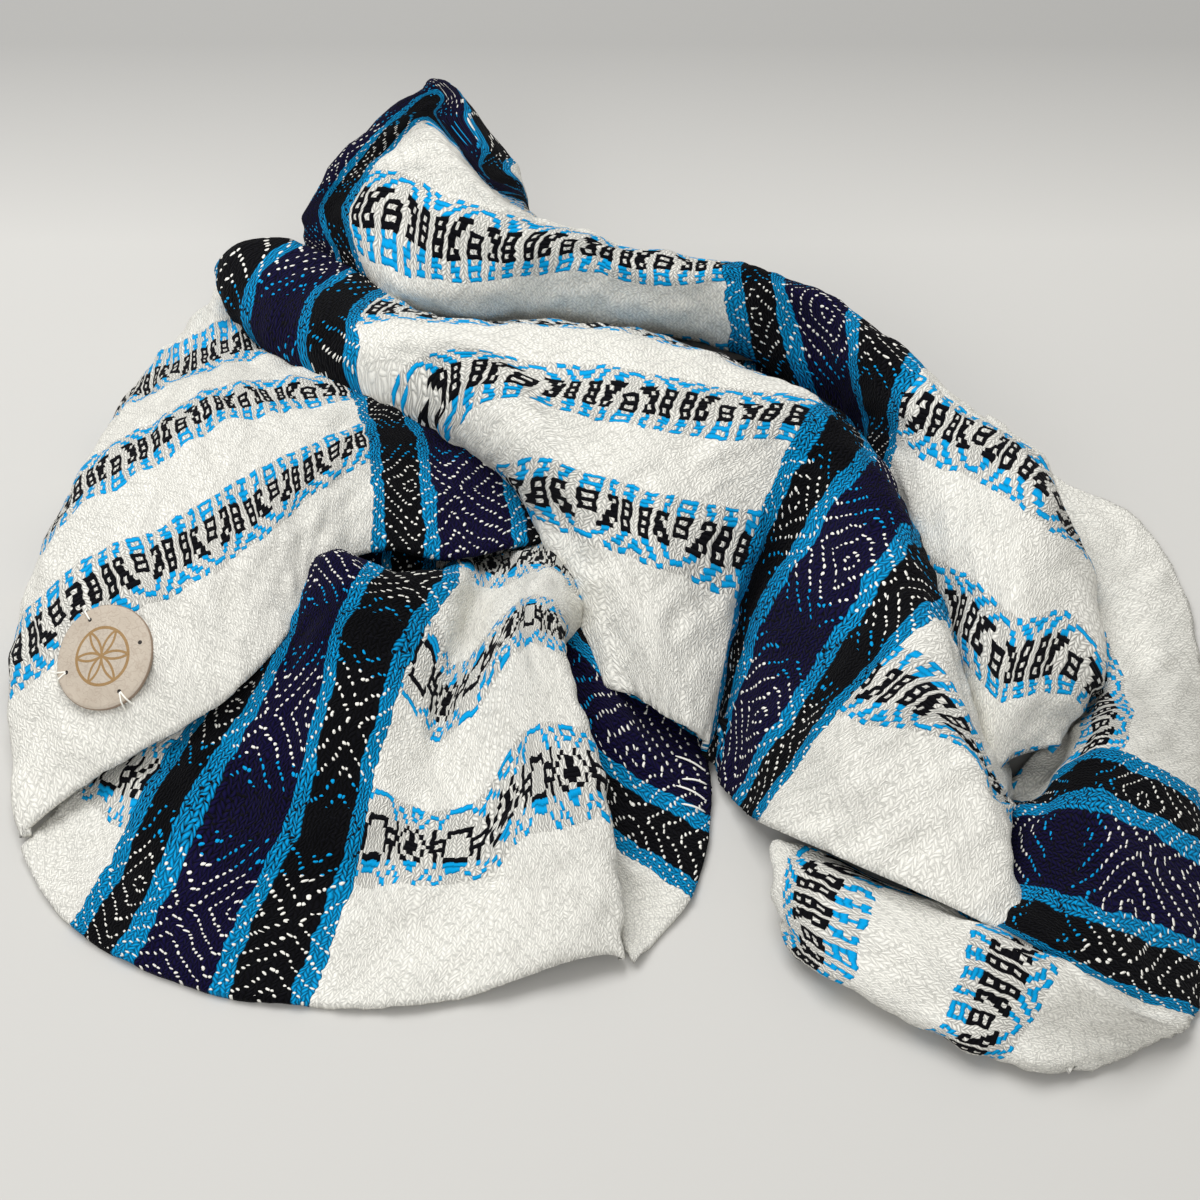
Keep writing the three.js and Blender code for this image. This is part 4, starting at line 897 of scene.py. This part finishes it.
# ---------------------------------------------------------------------------------------
# Back ridge: the raised hood at the back left, the ridge behind, and its slope to the right.
# The same woven face as the middle fold, lying behind and beyond it.
BACK_RIDGE = [
    [[-60, 150, -82, 118, 3], [-57, 163, -85, 119, 3], [-62, 176, -84, 127, 3],
     [-68, 196, -76, 138, 3], [-70, 216, -61, 145, 3], [-71, 230, -61, 144, 6],
     [-77, 234, -62, 147, 5], [-65, 250, -63, 148, 3], [-54, 284, -64, 149, 2]],
    [[-53, 150, -85, 116, 9], [-47, 163, -88, 116, 16], [-46, 176, -87, 123, 20],
     [-46, 196, -79, 134, 26], [-44, 216, -60, 142, 32], [-43, 230, -56, 142, 48],
     [-49, 234, -57, 146, 38], [-49, 250, -59, 149, 20], [-49, 284, -60, 151, 2]],
    [[-44, 150, -88, 110, 16], [-38, 163, -89, 107, 28], [-34, 176, -88, 112, 34],
     [-32, 196, -80, 123, 44], [-30, 216, -63, 134, 54], [-30, 230, -52, 139, 60],
     [-36, 234, -52, 143, 57], [-36, 250, -51, 147, 37], [-36, 284, -51, 150, 2]],
    [[-30, 148, -79, 100, 15], [-20, 163, -80, 100, 30], [-14, 176, -81, 112, 37],
     [-14, 196, -71, 121, 46], [-14, 214, -58, 130, 56], [-14, 228, -50, 134, 57],
     [-44, 238, -45, 143, 53], [-44, 254, -44, 147, 33], [-44, 288, -44, 150, 2]],
    [[-14, 146, -70, 94, 14], [-3, 162, -73, 95, 30], [0, 176, -74, 108, 40],
     [0, 194, -64, 121, 48], [0, 210, -52, 127, 55], [-26, 224, -49, 128, 56],
     [-50, 240, -38, 140, 46], [-50, 256, -37, 144, 26], [-50, 290, -37, 147, 2]],
    [[-4, 144, -60, 89, 14], [10, 161, -64, 87, 29], [14, 176, -61, 105, 42],
     [13, 192, -54, 115, 49], [12, 204, -45, 117, 53], [-26, 222, -42, 120, 50],
     [-56, 238, -30, 132, 40], [-56, 254, -29, 136, 20], [-56, 288, -29, 139, 2]],
    [[10, 142, -49, 87, 13], [24, 159, -51, 81, 28], [28, 176, -49, 94, 42],
     [27, 188, -44, 104, 48], [26, 198, -37, 107, 50], [-32, 214, -36, 112, 46],
     [-61, 230, -26, 122, 36], [-61, 246, -25, 126, 16], [-61, 280, -25, 129, 2]],
    [[32, 142, -35, 86, 13], [42, 157, -35, 81, 28], [44, 176, -34, 90, 41],
     [42, 186, -31, 98, 45], [40, 194, -28, 100, 46], [36, 206, -26, 104, 42],
     [30, 216, -23, 111, 34], [30, 232, -22, 115, 14], [30, 266, -22, 118, 2]],
    [[68, 144, -12, 86, 13], [68, 156, -12, 84, 27], [68, 174, -10, 90, 40],
     [66, 182, -9, 93, 42], [65, 190, -7, 96, 40], [64, 204, -6, 102, 32],
     [64, 216, -5, 106, 22], [64, 232, -4, 110, 4], [64, 258, -4, 113, 2]],
    [[90, 142, 13, 81, 13], [90, 154, 13, 78, 27], [90, 170, 12, 81, 39],
     [90, 178, 13, 85, 41], [90, 186, 14, 88, 39], [90, 200, 16, 94, 31],
     [90, 212, 17, 98, 21], [90, 228, 18, 102, 4], [90, 254, 18, 105, 2]],
    [[110, 140, 35, 76, 13], [110, 150, 33, 74, 25], [110, 164, 32, 77, 38],
     [110, 172, 32, 81, 41], [110, 180, 33, 84, 40], [110, 194, 35, 88, 32],
     [110, 206, 36, 92, 22], [110, 222, 37, 96, 4], [110, 248, 37, 99, 2]],
    [[141, 126, 67, 44, 10], [141, 138, 62, 53, 24], [141, 152, 57, 62, 38],
     [141, 160, 55, 68, 42], [141, 168, 56, 72, 41], [141, 182, 59, 77, 33],
     [141, 194, 60, 81, 23], [141, 210, 61, 85, 4], [141, 236, 61, 88, 2]],
    [[172, 92, 73, 15, 16], [172, 114, 76, 23, 26], [172, 134, 78, 31, 37],
     [172, 142, 82, 37, 41], [172, 150, 84, 41, 40], [172, 164, 87, 46, 32],
     [172, 176, 88, 50, 22], [172, 192, 89, 54, 4], [172, 218, 89, 57, 2]],
    [[194, 76, 82, -35, 18], [190, 104, 81, -7, 27], [190, 126, 89, 15, 38],
     [190, 136, 93, 22, 41], [190, 145, 95, 25, 39], [190, 158, 100, 31, 31],
     [190, 170, 101, 35, 21], [190, 186, 102, 39, 4], [190, 212, 102, 42, 2]],
    [[212, 66, 87, -55, 20], [210, 98, 90, -26, 32], [210, 120, 99, -4, 40],
     [210, 132, 105, 8, 41], [210, 140, 109, 14, 38], [210, 152, 113, 19, 30],
     [210, 164, 114, 23, 20], [210, 180, 115, 27, 4], [210, 206, 115, 30, 2]],
    [[228, 56, 92, -77, 20], [230, 88, 97, -55, 35], [230, 112, 107, -25, 38],
     [228, 124, 113, -11, 37], [227, 132, 116, -4, 33], [226, 144, 120, 2, 25],
     [226, 156, 121, 6, 15], [226, 172, 122, 10, 4], [226, 198, 122, 13, 2]],
    [[240, 52, 98, -73, 20], [246, 80, 107, -58, 31], [246, 104, 116, -32, 31],
     [244, 118, 119, -17, 29], [243, 126, 122, -9, 24], [242, 138, 124, -2, 17],
     [242, 150, 125, 2, 7], [242, 166, 126, 6, 4], [242, 192, 126, 9, 2]],
    [[252, 54, 109, -68, 18], [258, 78, 116, -58, 22], [256, 100, 124, -46, 22],
     [254, 116, 125, -25, 19], [253, 124, 127, -12, 15], [252, 134, 128, -4, 10],
     [252, 146, 129, 0, 4], [252, 162, 130, 4, 4], [252, 188, 130, 7, 2]],
    [[258, 54, 109, -65, 10], [266, 78, 116, -54, 11], [264, 100, 122, -43, 10],
     [261, 116, 123, -23, 8], [259, 124, 125, -11, 7], [257, 134, 126, -4, 5],
     [257, 146, 127, 0, 3], [257, 162, 128, 4, 3], [257, 188, 128, 7, 2]],
]
RIDGE_CREASES = [
    [46, 157, 103, 160, -0.8, 6],
    [37, 179, 64, 170, 0.7, 6],
    [187, 133, 208, 111, -1.0, 8],
    [218, 105, 239, 89, -0.8, 7],
    [16, 190, 30, 180, -0.7, 6],
]
back_ridge = cloth_piece("back_ridge_cloth", BACK_RIDGE, 1, RIDGE_CREASES, 29)
back_ridge.data.materials.append(middle_fold.data.materials[0])
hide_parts("back_ridge")

# ---------------------------------------------------------------------------------------
# Right lobe: from the far rim on the right, over the crease, to the under-lobe in front.
# The outer face too, with one band across its middle.
RIGHT_LOBE = [
    [[-138, 0, 108, 62, 2], [-138, 5, 106, 56, 4], [-138, 10, 105, 52, 5], [-138, 15, 104, 49, 5],
     [-138, 20, 104, 47, 4], [-138, 25, 103, 46, 3], [-138, 30, 102, 44, 3], [-138, 33, 100, 44, 2]],
    [[-124, 0, 117, 51, 2], [-124, 5, 115, 45, 5], [-124, 11, 114, 40, 7], [-124, 16, 113, 37, 6],
     [-124, 21, 113, 35, 5], [-124, 26, 112, 33, 4], [-124, 30, 112, 32, 3], [-124, 33, 110, 32, 2]],
    [[-112, 0, 126, 36, 2], [-112, 6, 124, 31, 4], [-112, 12, 122, 26, 5], [-112, 18, 121, 24, 5],
     [-112, 23, 121, 23, 4], [-112, 27, 120, 22, 3], [-112, 31, 120, 21, 3], [-112, 34, 118, 21, 2]],
    [[-97, 0, 144, 23, 2], [-97, 14, 136, 16, 5], [-97, 28, 128, 10, 7], [-97, 36, 125, 7, 7],
     [-97, 42, 123, 6, 7], [-97, 47, 121, 5, 6], [-97, 51, 120, 4, 5], [-97, 54, 118, 4, 4]],
    [[-70, 0, 154, -4, 2], [-70, 14, 141, -12, 9], [-70, 27, 129, -18, 13], [-70, 36, 125, -20, 12],
     [-70, 42, 123, -21, 11], [-70, 47, 122, -20, 9], [-70, 51, 120, -20, 7], [-70, 54, 118, -20, 6]],
    [[-40, 0, 154, -35, 2], [-40, 17, 140, -44, 14], [-40, 33, 128, -50, 19], [-40, 41, 123, -50, 18],
     [-40, 48, 122, -48, 14], [-40, 54, 121, -46, 9], [-40, 60, 119, -46, 8], [-40, 63, 117, -46, 7]],
    [[-12, 0, 151, -61, 2], [-12, 20, 136, -64, 14], [-12, 42, 122, -62, 19], [-12, 52, 117, -63, 16],
     [-12, 59, 114, -63, 13], [-12, 64, 112, -62, 8], [-12, 73, 106, -64, 7], [-12, 76, 104, -64, 6]],
    [[0, 0, 148, -72, 2], [0, 20, 133, -71, 14], [0, 42, 119, -68, 17], [0, 54, 111, -73, 15],
     [0, 64, 106, -77, 11], [0, 71, 102, -77, 7], [0, 78, 97, -76, 7], [0, 81, 95, -76, 6]],
    [[17, 0, 146, -88, 2], [17, 20, 130, -85, 14], [17, 42, 113, -82, 19], [17, 54, 106, -83, 16],
     [17, 64, 100, -82, 12], [17, 71, 98, -79, 8], [17, 76, 96, -79, 6], [17, 79, 94, -79, 5]],
    [[41, 0, 141, -116, 2], [41, 20, 123, -115, 14], [41, 40, 105, -114, 21], [41, 52, 97, -110, 19],
     [41, 60, 93, -106, 15], [41, 67, 91, -102, 10], [41, 72, 88, -100, 8], [41, 75, 86, -100, 7]],
    [[57, 0, 137, -132, 2], [57, 20, 118, -133, 14], [57, 40, 99, -127, 22], [57, 52, 91, -121, 20],
     [57, 62, 87, -115, 15], [57, 72, 82, -109, 10], [57, 84, 72, -103, 8], [57, 87, 70, -103, 7]],
    [[64, 0, 134, -136, 3], [64, 20, 116, -136, 14], [64, 38, 98, -129, 21], [64, 52, 90, -122, 19],
     [64, 66, 79, -114, 15], [64, 84, 64, -103, 11], [64, 100, 45, -90, 8], [64, 108, 50, -89, 3]],
    [[68, 0, 132, -139, 4], [68, 18, 115, -140, 17], [68, 34, 100, -132, 24], [68, 48, 89, -124, 21],
     [68, 66, 75, -113, 15], [68, 88, 52, -99, 11], [68, 106, 39, -90, 9], [68, 114, 44, -89, 4]],
    [[76, 0, 127, -141, 3], [76, 18, 110, -141, 14], [76, 38, 95, -134, 19], [76, 50, 85, -127, 17],
     [76, 68, 72, -118, 13], [76, 88, 47, -104, 11], [76, 108, 38, -97, 9], [76, 116, 42, -96, 4]],
    [[88, 0, 117, -146, 3], [88, 18, 105, -144, 8], [88, 38, 91, -139, 11], [88, 48, 83, -135, 11],
     [88, 68, 67, -126, 10], [88, 88, 45, -113, 10], [88, 108, 38, -106, 8], [88, 116, 42, -105, 3]],
    [[99, 0, 108, -149, 2], [99, 18, 98, -149, 5], [99, 36, 88, -146, 7], [99, 48, 80, -143, 7],
     [99, 68, 63, -133, 8], [99, 86, 47, -122, 8], [99, 106, 40, -111, 7], [99, 114, 44, -110, 3]],
    [[105, 0, 103, -149, 2], [105, 16, 95, -149, 3], [105, 36, 85, -146, 4], [105, 48, 76, -142, 5],
     [105, 68, 60, -132, 5], [105, 86, 45, -122, 5], [105, 104, 39, -111, 5], [105, 112, 44, -110, 2]],
    [[110, 0, 102, -148, 2], [112, 16, 95, -146, 2], [113, 36, 85, -142, 2], [113, 48, 77, -138, 2],
     [113, 68, 62, -128, 2], [113, 86, 48, -119, 2], [113, 104, 43, -109, 2], [113, 112, 48, -108, 2]],
]
LOBE_CREASES = [
    [-86, 25, -28, 24, -1.0, 8],
    [17, 49, 45, 47, 1.0, 7],
    [53, 23, 21, 10, -0.8, 8],
    [92, 66, 98, 43, -0.7, 7],
    [80, 95, 85, 60, 0.7, 6],
]
right_lobe = cloth_piece("right_lobe_cloth", RIGHT_LOBE, -1, LOBE_CREASES, 31)
right_lobe.data.materials.append(weave_material("weave_right_lobe", 0.0, LONE_BAND, OUTER_FACE))
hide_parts("right_lobe")

# ---------------------------------------------------------------------------------------
# Folded inside: the layers of the same cloth that lie folded away under all the others,
# seen only down in the gaps. One soft rounded heap, stepped where a layer ends.
def softened(name, node, voxel, passes):
    """A merged copy of a CAD node, rebuilt in faces of voxel mm and smoothed in passes."""
    mesh = bpy.data.objects[node].data.copy()
    mesh.name = name
    mesh.materials.clear()
    work = bpy.data.objects.new(name + "_rough", mesh)
    bpy.context.collection.objects.link(work)
    weld = work.modifiers.new("weld", "WELD")
    weld.merge_threshold = 0.01 * MM
    remesh = work.modifiers.new("remesh", "REMESH")
    remesh.mode = "VOXEL"
    remesh.voxel_size = voxel * MM
    smooth = work.modifiers.new("smooth", "SMOOTH")
    smooth.factor = 0.5
    smooth.iterations = passes
    ready = work.evaluated_get(bpy.context.evaluated_depsgraph_get())
    made = bpy.data.objects.new(name, bpy.data.meshes.new_from_object(ready))
    bpy.data.objects.remove(work)
    bpy.context.collection.objects.link(made)
    return made


INSIDE_AT = (131.5, 170.0)   # mm, the weave's place at the origin
INSIDE_SQUEEZE = 1.5         # mm of cloth to each mm of the heap, left to right
inside = softened("folded_layers", "folded_inside", 3.0, 12)
# the band of the mouth runs on into the heap, narrowing with the folds
inside_corner = corners(inside.data)
inside_flat = np.stack([INSIDE_AT[0] + INSIDE_SQUEEZE * inside_corner[:, 0],
                        INSIDE_AT[1] + inside_corner[:, 1]], axis=-1)
inside_uv = inside.data.uv_layers.new(name="weave")
inside_uv.data.foreach_set("uv", inside_flat[loop_corners(inside.data)].astype(np.float32).ravel())
inside.data.polygons.foreach_set("use_smooth", [True] * len(inside.data.polygons))
inside.data.materials.append(mouth.data.materials[0])
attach(inside, "root")
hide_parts("folded_inside")
